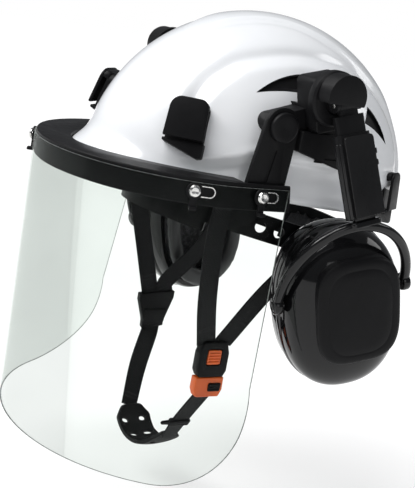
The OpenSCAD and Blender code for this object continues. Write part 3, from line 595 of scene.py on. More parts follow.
def shell_surface(inset, relief_share):
    """Rings of points from the rim to the crown, at a depth under the outer face."""
    az = np.arange(SHELL_AROUND) * 2 * math.pi / SHELL_AROUND
    rings = []
    for j in range(SHELL_UP + 1):
        low = np.arcsin((rim_z(az) - SHELL_MID_Z) / (SHELL_H - inset))
        t = j / SHELL_UP
        e = mix(low, math.radians(CROWN_ANGLE), t)
        p = dome_point(az, e, inset)
        n = np.stack([p[:, 0] / SHELL_W**2, p[:, 1] / SHELL_L**2, (p[:, 2] - SHELL_MID_Z) / SHELL_H**2], -1)
        n /= np.linalg.norm(n, axis=1)[:, None]
        rings.append(p + n * (shell_relief(p) * relief_share)[:, None])
    return rings


def bend(a, b, c, t):
    """A point of the curve from a to c that leans toward b."""
    return [mix(mix(p, q, t), mix(q, r, t), t) for p, q, r in zip(a, b, c)]


FRONT_VENT = ([(-53, 60), (-36, 74), (-16, 77)], [(-53, 60), (-34, 65), (-17, 64)])
REAR_VENT = ([(70, 33), (64, 50), (48, 60)], [(70, 33), (56, 44), (42, 48)])


def vent_edge(v, steps=14):
    upper = [bend(*v[0], i / steps) for i in range(steps + 1)]
    lower = [bend(*v[1], i / steps) for i in range(steps + 1)]
    return upper, lower


def prism_x(outline, x0, x1):
    return skin([[(x, y, z) for y, z in outline] for x in (x0, x1)])


def shell():
    outer, inner = shell_surface(0, 1), shell_surface(SHELL_WALL, 0.75)
    rounds = []
    for t in (0.15, 0.35, 0.65, 0.85):
        rounds.append(mix(inner[0], outer[0], t) + np.array([0, 0, -0.9 * math.sin(math.pi * t)]))
    o = raw(*skin([*inner[::-1], *rounds, *outer], caps=False))
    clean(o.data, merge=0.00002)
    for vent in (FRONT_VENT, REAR_VENT):
        upper, lower = vent_edge(vent)
        outline = upper + lower[:0:-1]
        for side in (-1, 1):
            x0, x1 = sorted((side * 45, side * 140))
            boolean(o, raw(*prism_x(outline, x0, x1)))
    finish(o, "shell_moulded", SHELL_WHITE, "helmet", "shell", 38)


def outer_x(y, z, depth):
    """How far out the shell's face is at (y, z), at a depth under it."""
    s = (z - SHELL_MID_Z) / (SHELL_H - depth)
    return (SHELL_W - depth) * math.sqrt(max(0.0, 1 - s * s - (y / (SHELL_L - depth)) ** 2))


def vents(name, vent, ribs):
    """Crescent inserts with a proud rim, a sunk panel and thin ribs across it."""
    upper, lower = vent_edge(vent, 26)
    profile = [(0.0, 2.6), (0.0, 0.1), (0.02, -0.5), (0.09, -0.5), (0.13, 0.4), (0.17, 1.5)]
    profile += [(0.17 + 0.33 * (i + 1) / 5, 1.6) for i in range(4)]
    profile += [(1 - t, d) for t, d in profile[::-1]]
    verts, faces = [], []
    for side in (-1, 1):
        rings = []
        for i, (a, b) in enumerate(zip(upper, lower)):
            s = i / (len(upper) - 1)
            ring = []
            for t, d in profile:
                y, z = mix(a[0], b[0], t), mix(a[1], b[1], t)
                rib = any(abs(s - r) < 0.018 for r in ribs)
                depth = d if s < 0.975 else min(d, -0.4) if s < 0.995 else 2.6
                if rib and d > 1:
                    depth = 0.2
                ring.append((side * outer_x(y, z, depth - 1.4), y, z))
            rings.append(ring)
        add(verts, faces, *skin(rings, closed=False, caps=False))
    finish(raw(verts, faces), name + "_moulded", SATIN, "helmet", name, 30)


shell()
vents("front_vents", FRONT_VENT, (0.52,))
vents("rear_vents", REAR_VENT, ())


# ---- brow guard and visor ---------------------------------------------------
def guard_point(u, out, z):
    """A point of the guard: u round from the middle of the brow, out from its face, z up from its top."""
    grow = 1 - VISOR_FLARE * z
    angle = math.radians(90 * min(1, abs(u) / FRONT_ARC))
    tail = max(0, abs(u) - FRONT_ARC)
    x = (GUARD_W * grow + out) * math.sin(angle)
    y = GUARD_MID_Y - VISOR_LEAN * z - (GUARD_REACH * grow + out) * math.cos(angle) + tail
    return (-x if u < 0 else x, y, z)


def guard_angle(u):
    return 90 * max(-1, min(1, u / FRONT_ARC))


def lock_frame(u):
    """Where a lever sits on the guard: X along it, Z out of it."""
    a = math.radians(guard_angle(u))
    flare = VISOR_FLARE * (GUARD_W * math.sin(a) ** 2 + GUARD_REACH * math.cos(a) ** 2)
    tilt = 90 - math.degrees(math.atan(flare - VISOR_LEAN * math.cos(a)))
    return move(*guard_point(u, 0, LOCK_Z)) @ rot("Z", guard_angle(u)) @ rot("X", tilt)


def brim_outline(steps=160):
    """The shell's outline seen from above, with the gap that the plate keeps from it."""
    az = np.arange(steps) * 2 * math.pi / steps
    rings = []
    for t in (0.02, 0.06):
        low = np.arcsin((rim_z(az) - SHELL_MID_Z) / (SHELL_H + PLATE_GAP))
        rings.append(dome_point(az, mix(low, math.radians(85), t), -PLATE_GAP))
    far = np.where(np.linalg.norm(rings[0], axis=1) > np.linalg.norm(rings[1], axis=1), 0, 1)
    return [tuple(rings[k][i][:2]) for i, k in enumerate(far)]


def prism_z(outline, z0, z1):
    return skin([[(x, y, z) for x, y in outline] for z in (z0, z1)])


def box_mesh(x, y, z):
    verts = [(i, j, k) for i in x for j in y for k in z]
    return verts, [(0, 1, 3, 2), (4, 6, 7, 5), (0, 4, 5, 1), (2, 3, 7, 6), (0, 2, 6, 4), (1, 5, 7, 3)]


def lathe(profile, steps=48):
    """Points of (radius, height) turned about Z, closed at both ends where the radius is 0."""
    turn = [2 * math.pi * i / steps for i in range(steps)]
    return skin([[(r * math.cos(a), r * math.sin(a), h) for a in turn] for r, h in profile])


def brow_guard():
    steps = 150
    wall = [(-3, -19), (-3, -0.4), (-1.3, 0), (-0.5, -0.2), (-0.1, -0.6), (0, -1.2), (0, -18.4), (-0.6, -19)]
    arc = [HALF_ARC * (2 * i / steps - 1) for i in range(steps + 1)]
    o = raw(*skin([[guard_point(u, out, z) for out, z in wall] for u in arc]))
    outline = [guard_point(u, -1.4, 0)[:2] for u in arc]
    plate = raw(*prism_z(outline, -PLATE_T, -0.12))
    boolean(plate, raw(*prism_z(brim_outline(), -60, 60)))
    for side in (-1, 1):
        x = sorted((side * 90, side * 112.4))
        boolean(plate, raw(*box_mesh(x, (-69, -9), (-60, 60))))
    bevel(plate, 0.7, 2, 40)
    boolean(o, plate, "UNION")
    for u in LOCKS.values():
        verts, faces = lathe([(2.55, -10), (2.55, 10)], 24)
        boolean(o, raw(placed(verts, lock_frame(u)), faces))
    finish(o, "brow_guard_moulded", SATIN, "visor", "brow_guard", 40)


VISOR_STRAIGHT, EDGE_TOP, EDGE_LOW, CORNER_RISE, CORNER_RUN = 150, 209, 181, 76, 68


def visor_edge(v):
    """How far round the sheet reaches at a depth v below the guard's top."""
    if v < VISOR_STRAIGHT:
        return mix(EDGE_TOP, EDGE_LOW, v / VISOR_STRAIGHT)
    return EDGE_LOW - CORNER_RUN * (1 - math.sqrt(max(0, 1 - ((v - VISOR_STRAIGHT) / CORNER_RISE) ** 2)))


def arc_points(x, y, rx, ry, angles):
    return [(x + rx * math.cos(a), y + ry * math.sin(a)) for a in angles]


def full_turn(steps):
    return np.linspace(0, 2 * math.pi, steps, False)


def capsule(r, length, z0, z1, steps=16):
    """A prism with round ends along X, from the origin to length."""
    pts = arc_points(0, 0, r, r, [math.pi / 2 + math.pi * i / steps for i in range(steps + 1)])
    pts += [(length - x, -y) for x, y in pts]
    return prism_z(pts, z0, z1)


def visor():
    across, low = 130, 26
    drops = [mix(-VISOR_TOP, VISOR_STRAIGHT, i / 16) for i in range(16)]
    drops += [VISOR_STRAIGHT + CORNER_RISE * math.sin(math.pi / 2 * i / low) for i in range(low + 1)]
    rings = []
    for v in drops:
        e = visor_edge(v)
        us = [e * (2 * i / across - 1) for i in range(across + 1)]
        outer = [guard_point(u, VISOR_GAP + VISOR_T, -v) for u in us]
        rings.append(outer + [guard_point(u, VISOR_GAP, -v) for u in us[::-1]])
    o = raw(*skin(rings))
    for u in LOCKS.values():
        verts, faces = capsule(SLOT_W / 2, SLOT_L - SLOT_W, -3, 5)
        boolean(o, raw(placed(verts, lock_frame(u)), faces))
    finish(o, "visor_sheet", CLEAR, "visor", "visor", 30)
    # Painted shade: faces across the sheet's thickness take the opaque grey edge material in place of the
    # clear one.
    o.data.materials.append(CLEAR_EDGE_PAINTED_SHADE)
    for f in o.data.polygons:
        c = f.center / MM
        y = min(0.0, c.y - GUARD_MID_Y + VISOR_LEAN * c.z)
        out = Vector((c.x / GUARD_W**2, y / GUARD_REACH**2, 0)).normalized()
        if abs(f.normal.dot(out)) < 0.6:
            f.material_index = 1


def studs():
    """Steel studs with a dished head outside and a flange behind the guard."""
    verts, faces = [], []
    profile = [(0, -5.6), (4.5, -5.6), (4.5, -4.2), (2.5, -4), (2.5, 3.9), (4, 3.9), (4.3, 4.6), (3.7, 5.8)]
    profile += [(2.6, 6.3), (1.6, 6.1), (0, 5.5)]
    for u in LOCKS.values():
        v, f = lathe(profile, 36)
        add(verts, faces, placed(v, lock_frame(u)), f)
    finish(raw(verts, faces), "visor_studs_turned", STEEL, "visor", "visor_studs", 30)


def slot_rims():
    """The pressed bright edge round each adjusting slot of the visor."""
    verts, faces = [], []
    for u in LOCKS.values():
        outer, inner = (capsule(SLOT_W / 2 + grow, SLOT_L - SLOT_W, 1.36, 1.62)[0] for grow in (0.5, -0.15))
        n = len(outer) // 2
        rings = [outer[:n], outer[n:], inner[n:], inner[:n]]
        v, f = skin(rings + rings[:1], caps=False)
        add(verts, faces, placed(v, lock_frame(u)), f)
    finish(raw(verts, faces), "visor_slot_rims", STEEL, "visor", angle=30)


def visor_arms():
    """The two arms, and the round caps over the pins that they turn on."""
    soften("visor_arms", SATIN, 0.8, 3)
    verts, faces = [], []
    profile = [(0, 0), (10.6, 0), (11, 0.4), (11, 2.7), (10.6, 3.5), (9.8, 4), (8.8, 4.2), (6, 4.1), (3, 3.9)]
    profile.append((0, 3.7))
    for side in (1, -1):
        v, f = lathe(profile, 64)
        turn = move(side * CAP_X, PIN_Y, PIN_Z) @ rot("Y", side * 90)
        add(verts, faces, placed(v, turn), f)
    finish(raw(verts, faces), "pivot_caps_moulded", SATIN, "helmet", "pivot_caps")


def locks():
    for name in LOCKS:
        soften(name, SATIN, 0.5, 3)


brow_guard()
visor()
studs()
slot_rims()
visor_arms()
locks()


# ---- clips, sockets and brackets ---------------------------------------------
def rounded(corners, steps=6):
    """A closed outline through corners given as (x, y, radius)."""
    out = []
    for i, corner in enumerate(corners):
        p, r = Vector(corner[:2]), corner[2]
        a = (Vector(corners[i - 1][:2]) - p).normalized()
        b = (Vector(corners[(i + 1) % len(corners)][:2]) - p).normalized()
        half = a.angle(b) / 2
        centre = p + (a + b).normalized() * (r / math.sin(half))
        d0, d1 = (p + a * (r / math.tan(half)) - centre), (p + b * (r / math.tan(half)) - centre)
        a0, a1 = math.atan2(d0.y, d0.x), math.atan2(d1.y, d1.x)
        turn = (a1 - a0 + math.pi) % (2 * math.pi) - math.pi
        out += [
            (centre.x + r * math.cos(a0 + turn * k / steps), centre.y + r * math.sin(a0 + turn * k / steps))
            for k in range(steps + 1)
        ]
    return out


def box_outline(x0, x1, y0, y1, r):
    return rounded([(x0, y0, r), (x1, y0, r), (x1, y1, r), (x0, y1, r)])


def under_shell(depth=2):
    """A solid that fills the shell up to a depth under its outer face, to cut what sits on it."""
    rings = shell_surface(depth, 1)
    o = raw(*skin([rings[0] - np.array([0, 0, 40]), *rings], caps=True))
    clean(o.data, merge=0.00002)
    return o


def join(first, *others):
    """Adds other mesh objects' faces to the first, without cutting either."""
    bm = bmesh.new()
    bm.from_mesh(first.data)
    for o in others:
        bm.from_mesh(o.data)
        bpy.data.objects.remove(o, do_unlink=True)
    bm.to_mesh(first.data)
    bm.free()
    return first


def both_sides(o):
    """Adds the mirror image of a piece to it."""
    bm = bmesh.new()
    bm.from_mesh(o.data)
    copy = bmesh.ops.duplicate(bm, geom=bm.verts[:] + bm.edges[:] + bm.faces[:])["geom"]
    bmesh.ops.scale(bm, vec=(-1, 1, 1), verts=[g for g in copy if isinstance(g, bmesh.types.BMVert)])
    bmesh.ops.reverse_faces(bm, faces=[g for g in copy if isinstance(g, bmesh.types.BMFace)])
    bm.to_mesh(o.data)
    bm.free()
    return o


def mirror_piece(o, name, body, node=None):
    """The same piece for the wearer's right side."""
    mesh = o.data.copy()
    mesh.transform(MIRROR)
    mesh.flip_normals()
    p = link(name, mesh)
    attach(p, body)
    if node:
        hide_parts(node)
    if "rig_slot" in o:
        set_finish(p, o["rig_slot"])
    return p


def block(verts_faces, matrix, width=0.8, segments=2, angle=35):
    """A prism placed by a matrix, with its edges rounded."""
    verts, faces = verts_faces
    o = raw(placed(verts, matrix), faces)
    bevel(o, width, segments, angle)
    return o


def clip_frame(front):
    """Where a left lamp clip sits on the shell, its turn from the side and its tip from upright."""
    x, y, z, turn, tip = (68.5, -98.5, 28, 49, 17) if front else (84.3, 81, -9, 121, 4)
    return move(x, y, z) @ rot("Z", turn) @ rot("X", 90 - tip)


def clips():
    bases = None
    for front in (True, False):
        at = clip_frame(front)
        w, r = (15.5, 7.5) if front else (9.5, 6)
        back = [(-w + 1, -12, 1), (w - 1, -12, 1), (w - 1.5, 19.5, r - 1), (-w + 1.5, 19.5, r)]
        root = [(-w + 1.5, 14, 0.5), (w - 1.5, 14, 0.5), (w - 2, 20, r - 2), (-w + 2, 20, r - 2)]
        wedge = [(-w, -10.5, 0.6), (w, -10.5, 0.6), (w, -20.5, 1.5), (w - 4, -21.5, 1.5), (-w, -12.5, 0.6)]
        layers = ((back, -9, 2), (root, 1, 6), (wedge, -9, 5))
        parts = [block(prism_z(rounded(corners), z0, z1), at, 0.7) for corners, z0, z1 in layers]
        bases = join(bases, *parts) if bases else join(*parts)
        face = [(-w + 0.4, -9.5, 1), (w - 0.4, -9.5, 1), (w - 1.6, 20.5, r - 0.5), (-w + 1.4, 20.5, r + 1)]
        tab = block(prism_z(rounded(face, 8), 6.15, 8.7), at, 0.9, 3)
        name = "clip_tab_" + ("front" if front else "rear")
        finish(tab, name + "_left_moulded", SATIN, name + "_left", name + "_left")
        mirror_piece(tab, name + "_right_moulded", name + "_right", name + "_right")
    boolean(bases, under_shell())
    both_sides(bases)
    finish(bases, "headlamp_clips_moulded", SATIN, "helmet", "headlamp_clip_bases")


SOCKET_X, BLADE_X, BLADE_Y = 113, (109.5, 112), (-13, 11)
BLOCK_X, ARM_X = 121, 107


def boss_outline(r):
    """The bracket's arm out to the visor's pivot: one rounded bar seen from the side."""
    near, far = Vector((PIN_Y, PIN_Z)), Vector((-20, 50))
    along = (far - near).normalized()
    start = math.atan2(along.y, along.x)
    ring = arc_points(near.x, near.y, r, r, start + np.linspace(0.5, 1.5, 20) * math.pi)
    ring += arc_points(far.x, far.y, r, r, start + np.linspace(-0.5, 0.5, 20) * math.pi)
    return prism_x(ring, 75, ARM_X - 0.2)


def sockets_and_brackets():
    """The sockets on the shell, then the bracket plates that plug into them and hold the visor's pivots."""
    flat = Matrix.Identity(4)
    outline = rounded([(-30, 25, 2), (17, 12, 2), (17, 40, 2), (-30, 40, 2)])
    o = block(prism_x(outline, 85, SOCKET_X), flat, 1.0, 3)
    boolean(o, under_shell())
    slot_x, slot_y = ((low - 0.15, high + 0.15) for low, high in (BLADE_X, BLADE_Y))
    boolean(o, raw(*box_mesh(slot_x, slot_y, (16, 90))))
    boolean(o, raw(*prism_x(box_outline(-6, 6, 21, 25, 1), 110.5, 120)))
    both_sides(o)
    finish(o, "side_sockets_moulded", SATIN, "helmet", "side_sockets")

    outline = rounded([(-13, -24.75, 4), (18, -24.75, 4), (18, 14.75, 5), (-13, 14.75, 5)], 8)
    o = block(prism_x(outline, 75, BLOCK_X), MUFF, 1.2, 3)
    boss = block(boss_outline(8), flat, 0.8, 3)
    blade = block(box_mesh(BLADE_X, BLADE_Y, (18, 54)), flat, 0.4)
    boolean(o, raw(*box_mesh((60, 97), (-60, 20), (58, 108))))
    boolean(o, raw(*prism_x(arc_points(PIN_Y, PIN_Z, 16, 16, full_turn(64)), ARM_X - 0.2, 140)))
    boolean(o, boss, "UNION")
    boolean(o, blade, "UNION")
    boolean(o, under_shell())
    boolean(o, raw(*box_mesh((60, 109), (-31, 30), (0, 40.2))))
    both_sides(o)
    finish(o, "side_brackets_moulded", SATIN, "helmet", "side_brackets")


clips()
sockets_and_brackets()


# ---- ear muffs ----------------------------------------------------------------
def oval(hw, hh, power, x, steps=96):
    points = []
    for i in range(steps):
        a = 2 * math.pi * i / steps
        points.append((x, hw * spow(math.cos(a), 2 / power), hh * spow(math.sin(a), 2 / power) - CUP_BELOW))
    return points


def cup_ring(scale, x, inset=0.0):
    return oval(CUP_W * scale - inset, CUP_H * scale - inset, CUP_POWER, x)


def cup_dome(inset, steps=22):
    rings = []
    for i in range(steps + 1):
        a = math.radians(DOME_FRONT) * i / steps
        x = CUP_MAX_X + (DOME_D - inset) * math.sin(a) ** (2 / 2.4)
        rings.append(cup_ring(math.cos(a) ** (2 / 2.4), x, inset))
    return rings


def ear_cup():
    profile = [(0.93, -30), (0.955, -30), (0.965, -29.4), (0.99, -25), (1, -17.2), (1.0, -16.4), (0.988, -16)]
    profile += [(0.988, -15.2), (1, -14.8), (1.012, -13.6), (1.018, -12), (1.018, -9.5), (1.012, -8)]
    profile.append((1.002, -7))
    outside = [cup_ring(*r) for r in profile] + cup_dome(0)
    inside = [cup_ring(0.93, -30, 2.6), cup_ring(1, -16, 2.6)] + cup_dome(2.6, 12)
    verts, faces = skin(inside[::-1] + outside)
    o = raw(placed(verts, CUP), faces)
    finish(o, "ear_cup_left_moulded", GLOSS, "muff_cup_left", "ear_cup_left", 32)
    mirror_piece(o, "ear_cup_right_moulded", "muff_cup_right", "ear_cup_right")


def cup_plate():
    at = CUP @ move(0, 3, 6)
    profile = [(0, 8, 3.4), (0, 23.4, 3.4), (0.3, 24.6, 3.4), (1, 25.7, 3.4), (2.2, 26.5, 3.4)]
    profile += [(3.8, 27, 3.3), (6.4, 27.2, 3.2), (7, 27.1, 3.2), (7.6, 26.9, 3.2), (8.2, 27.1, 3.2)]
    profile += [(9.2, 27.6, 3.1), (14, 28, 3), (22, 28.3, 2.9), (30, 28.4, 2.6)]
    verts, faces = skin([oval(33.5 - inset, 41 - inset, power, x, 120) for inset, x, power in profile])
    o = raw(placed(verts, at), faces)
    finish(o, "cup_plate_left_moulded", MATTE, "muff_cup_left", "cup_plate_left", 50)
    mirror_piece(o, "cup_plate_right_moulded", "muff_cup_right", "cup_plate_right")


def hoop_point(angle):
    top = CUP_DROP + HINGE_Z + HOOP_TOP * math.cos(math.radians(ARM_SLOPE))
    out = HINGE_X - HOOP_TOP * math.sin(math.radians(ARM_SLOPE)) - CUP_X
    return Vector((out * math.sin(angle), -HOOP_W * math.cos(angle), top * math.sin(angle)))


def yoke():
    rings = []
    for i in range(73):
        a = math.pi * i / 72
        along = (hoop_point(a + 0.02) - hoop_point(a - 0.02)).normalized()
        w = along.cross(Vector((1, 0, 0))).normalized()
        v = along.cross(w)
        rings.append([
            hoop_point(a) + w * HOOP_R * spow(math.cos(k), 0.75) + v * HOOP_R * spow(math.sin(k), 0.75)
            for k in [2 * math.pi * j / 20 for j in range(20)]
        ])
    verts, faces = skin(rings)
    o = raw(placed(verts, CUP), faces)
    stem = block(prism_z(box_outline(-2, 2, -9, 9, 1), HOOP_TOP, -30), ARM, 0.4)
    saddle = block(prism_z(box_outline(-4.5, 4.5, -13, 13, 4), HOOP_TOP - 1.6, HOOP_TOP + 3.4), ARM, 1.4, 3)
    ends = []
    profile = [(0, 0), (3, 0), (3.4, 0.3), (3.6, 0.7), (5.4, 0.7), (6.4, 1.2), (7, 2.2), (7, 5.6), (6.6, 6.6)]
    profile += [(2.5, 6.6), (2.5, 9.4), (0, 9.4)]
    for side in (1, -1):
        turn = CUP @ move(0, side * (HOOP_W + HOOP_R + 0.6), 0) @ rot("X", side * 90)
        v, f = lathe(profile, 40)
        ends.append(raw(placed(v, turn), f))
    join(o, stem, saddle, *ends)
    finish(o, "yoke_left_moulded", GLOSS, "muff_yoke_left", "yoke_left", 40)
    mirror_piece(o, "yoke_right_moulded", "muff_yoke_right", "yoke_right")


def muff_arm():
    """The arm, and the semi-gloss cover over its sleeve: a slab with two grips on its edge, and two rails."""
    o = soften("muff_arm_left", SATIN, 0.9, 3)
    edge = [(-10.4, -80.5, 1.2), (14.2, -80.5, 1.2)]
    for low in (-46.2, -38.2):
        edge += [(14.2, low, 0.3), (15.3, low + 0.6, 0.4), (15.3, low + 3.8, 0.4), (14.2, low + 4.4, 0.3)]
    edge += [(14.2, -23.5, 3), (-10.4, -22.5, 3)]
    slab = block(prism_x(rounded(edge, 4), 4.0, 6.6), ARM, 0.7, 3, 40)
    rails = []
    for x, y in ((3.6, -12.4), (2.2, -14.2)):
        v, f = lathe([(0, -80.4), (0.9, -80.2), (1.5, -79.4), (1.5, -28), (0.9, -27.2), (0, -27)], 20)
        rails.append(raw(placed(v, ARM @ move(x, y, 0)), f))
    cover = finish(join(slab, *rails), "muff_arm_cover_left", GLOSS_SATIN, "muff_lever_left", angle=40)
    mirror_piece(o, "muff_arm_right_moulded", "muff_lever_right", "muff_arm_right")
    mirror_piece(cover, "muff_arm_cover_right", "muff_lever_right")


def turret():
    o = soften("turret_left", SATIN, 0.7, 3)
    mirror_piece(o, "turret_right_moulded", "muff_turret_right", "turret_right")


def puff(o, pressure=4, cap=6.0, voxel=4.5):
    """Swells a soft piece as pressurised cloth; no point moves more than cap millimetres."""
    remesh = o.modifiers.new("remesh", "REMESH")
    remesh.mode = "VOXEL"
    remesh.voxel_size = voxel * MM
    apply_modifiers(o)
    n = len(o.data.vertices)
    start = np.empty(n * 3)
    o.data.vertices.foreach_get("co", start)
    cloth = o.modifiers.new("cloth", "CLOTH")
    cloth.settings.use_pressure = True
    cloth.settings.uniform_pressure_force = pressure
    cloth.settings.effector_weights.gravity = 0
    for f in range(1, 21):
        bpy.context.scene.frame_set(f)
    end = np.empty(n * 3)
    o.evaluated_get(bpy.context.evaluated_depsgraph_get()).data.vertices.foreach_get("co", end)
    o.modifiers.clear()
    bpy.context.scene.frame_set(1)
    moved = (end - start).reshape(-1, 3)
    length = np.linalg.norm(moved, axis=1)[:, None]
    limit = cap * MM
    moved *= np.tanh(length / limit) * limit / np.maximum(length, 1e-9)
    o.data.vertices.foreach_set("co", start + moved.ravel())
    smoothing = o.modifiers.new("relax", "SMOOTH")
    smoothing.factor, smoothing.iterations = 0.5, 3
    subdivide = o.modifiers.new("subdivide", "SUBSURF")
    subdivide.levels = subdivide.render_levels = 1
    apply_modifiers(o)


def cushion():
    """A film-covered foam ring between the cup and the head; simulated once, mirrored for the other side."""
    rings = []
    outer, inner = (CUP_W - 4.5, CUP_H - 5.5), (CUP_W - 18.5, CUP_H - 22.5)
    mid_x = CUP_BACK - 0.15 - CUSHION_T / 2
    sections = 20
    for j in range(sections):
        a = 2 * math.pi * j / sections
        t = 0.5 + 0.5 * spow(math.cos(a), 0.6)
        x = mid_x + (CUSHION_T / 2 - 0.8) * spow(math.sin(a), 0.6)
        rings.append(oval(mix(inner[0], outer[0], t), mix(inner[1], outer[1], t), CUP_POWER, x, 96))
    verts, faces = skin(rings + rings[:1], caps=False)
    o = raw(placed(verts, CUP), faces)
    clean(o.data, merge=0.00001)
    puff(o, 3, 1.6, 3.2)
    inverse = CUP.inverted()
    for v in o.data.vertices:
        p = inverse @ (v.co / MM)
        r = math.hypot(p.y / CUP_W, (p.z + CUP_BELOW) / CUP_H)
        seam = 0.9 * math.exp(-(((p.x - mid_x - 3.2) / 0.8) ** 2)) if r > 0.75 else 0
        p.x = min(max(p.x, mid_x - CUSHION_T / 2 - 0.6), CUP_BACK - 0.1)
        p.y *= 1 - seam / 44
        p.z -= (p.z + CUP_BELOW) * seam / 60
        v.co = (CUP @ p) * MM
    finish(o, "cushion_left_skin", FILM, "muff_cup_left", "cushion_left", 60)
    p = mirror_piece(o, "cushion_right_skin", "muff_cup_right", "cushion_right")


def liners():
    for side in ("left", "right"):
        soften("cup_foam_" + side, FOAM, 0)


ear_cup()
cup_plate()
yoke()
muff_arm()
turret()
cushion()
liners()


# ---- straps ---------------------------------------------------------------------
ANCHOR_FRONT, ANCHOR_REAR = Vector((86, -66, -6)), Vector((88, 64, -17))


def strap_section():
    """Half width and half thickness shares round a strap's section, with a thicker woven selvedge."""
    edge = [(-1, 0), (-0.985, 0.7), (-0.94, 1.06), (-0.88, 1.0), (-0.82, 0.86)]
    top = edge + [(x, 0.9) for x in (-0.5, 0, 0.5)] + [(-x, z) for x, z in edge[::-1]]
    return top + [(x, -z) for x, z in top[-2:0:-1]]


class Ribbon:
    """A flat strap along a smooth path; across gives its width direction at each point of the path."""

    SECTION = strap_section()

    def __init__(self, path, across, width=WEB_W, thick=WEB_T, steps=12):
        self.width, self.thick = width, thick
        self.points = [Vector(p) for p in rounded_line([tuple(p) for p in path], steps)]
        n = len(self.points) - 1
        self.frames = []
        for i, p in enumerate(self.points):
            along = (self.points[min(i + 1, n)] - self.points[max(i - 1, 0)]).normalized()
            t = i / n * (len(across) - 1)
            k = min(int(t), len(across) - 2)
            w = Vector(across[k]).lerp(Vector(across[k + 1]), t - k)
            w = (w - along * along.dot(w)).normalized()
            self.frames.append((p, along, w, along.cross(w)))

    def mesh(self):
        verts, uvs, run = [], [], 0.0
        for i, (p, _, w, up) in enumerate(self.frames):
            run += (p - self.points[max(i - 1, 0)]).length
            for x, z in self.SECTION:
                verts.append(p + w * (x * self.width / 2) + up * (z * self.thick / 2))
                uvs.append((x * self.width / 2 * MM, run * MM))
        n = len(self.SECTION)
        faces = skin([verts[i:i + n] for i in range(0, len(verts), n)])[1]
        return verts, faces, uvs

    def at(self, share):
        """A matrix at a share of the length: X across, Y along, Z out of the strap."""
        p, along, w, _ = self.frames[round(share * (len(self.frames) - 1))]
        return Matrix.Translation(p) @ Matrix((w, along, w.cross(along))).transposed().to_4x4()


def strap_piece(name, ribbons, body, node):
    verts, faces, uvs = [], [], []
    for r in ribbons:
        v, f, uv = r.mesh()
        add(verts, faces, v, f)
        uvs += uv
    return finish(raw(verts, faces, name, uvs), name, WEBBING, body, node, 50)


def stitches(ribbons, shares, name):
    """Two rows of short raised threads across each strap at the given shares of its length."""
    parts = []
    for r in ribbons:
        for share in shares:
            for row in (-1.6, 1.6):
                for k in range(-4, 5):
                    for side in (-1, 1):
                        at = r.at(share) @ move(k * 1.5, row, side * (r.thick / 2 - 0.1)) @ rot("Z", 24)
                        v, f = box_mesh((-0.22, 0.22), (-0.9, 0.9), (-0.3, 0.3))
                        parts.append(raw(placed(v, at), f))
    o = join(*parts)
    bevel(o, 0.14, 2)
    finish(o, name, THREAD, "helmet")


def keeper(at, name, body, width=19.5, tall=7, thick=4.6, tab=0):
    """A moulded loop round a strap with two rows of grip dots, and a pull tab to one side."""
    outline = box_outline(-width / 2, width / 2, -tall / 2, tall / 2, 1.4)
    o = block(prism_z(outline, -thick / 2, thick / 2), at, 0.9, 3)
    dots = []
    for row in (-1.5, 1.5):
        for k in range(-3, 4):
            for side in (-1, 1):
                v, f = lathe([(0, 0), (0.9, 0), (0.85, 0.35), (0.5, 0.55), (0, 0.6)], 12)
                face = at @ move(k * 2.3, row, side * (thick / 2 - 0.1)) @ rot("X", 90 - side * 90)
                dots.append(raw(placed(v, face), f))
    join(o, *dots)
    if tab:
        flap = prism_z(rounded([(0, -2.6, 0.8), (tab, -1.6, 1.5), (tab, 1.6, 1.5), (0, 2.6, 0.8)]), -1.1, 1.1)
        join(o, block(flap, at @ move(math.copysign(width / 2 - 1.5, tab), 0, 0), 0.7, 3))
    return finish(o, name, SATIN, body, angle=40)


def side_straps():
    """The front and rear legs of the harness: each path runs from the shell to the buckle or the divider."""
    front = [ANCHOR_FRONT + Vector((0, 0, -7)), (81, -66, -50), (71, -57, -100), BUCKLE + Vector((1, -8, 13))]
    rear = [ANCHOR_REAR + Vector((0, 0, -8)), (85.6, 48, -38), (83.8, 22.5, -57), (73, -4, -92)]
    rear.append(BUCKLE + Vector((1, 7.5, 13.5)))
    left = [Ribbon(front, [(0, 1, 0)] * 4), Ribbon(rear, [(0, 1, z) for z in (-0.8, -0.9, -0.8, -0.6, -0.4)])]
    front = [(-86, -61, -13), (-84, -51, -50), (-80, -37, -100), DIVIDER + Vector((0, -6, 11))]
    rear = [(-88, 64, -24), (-84, 44, -66), (-77, 16, -106), DIVIDER + Vector((0, 8.5, 24))]
    rear.append(DIVIDER + Vector((0, 8, 12)))
    right = [Ribbon(front, [(0, 1, 0)] * 4), Ribbon(rear, [(0, 1, z) for z in (-0.6, -0.7, -0.8, -0.5, 0)])]
    strap_piece("side_straps_left_woven", left, "helmet", "side_straps_left")
    strap_piece("side_straps_right_woven", right, "helmet", "side_straps_right")
    stitches(left + right, (0.12, 0.9), "strap_stitching")


def chin_end(side):
    yaw, reach = math.radians(CHIN_YAW), side * CHIN_W / 2
    return CHIN + Vector((reach * math.cos(yaw), reach * math.sin(yaw), CHIN_SAG - 2))


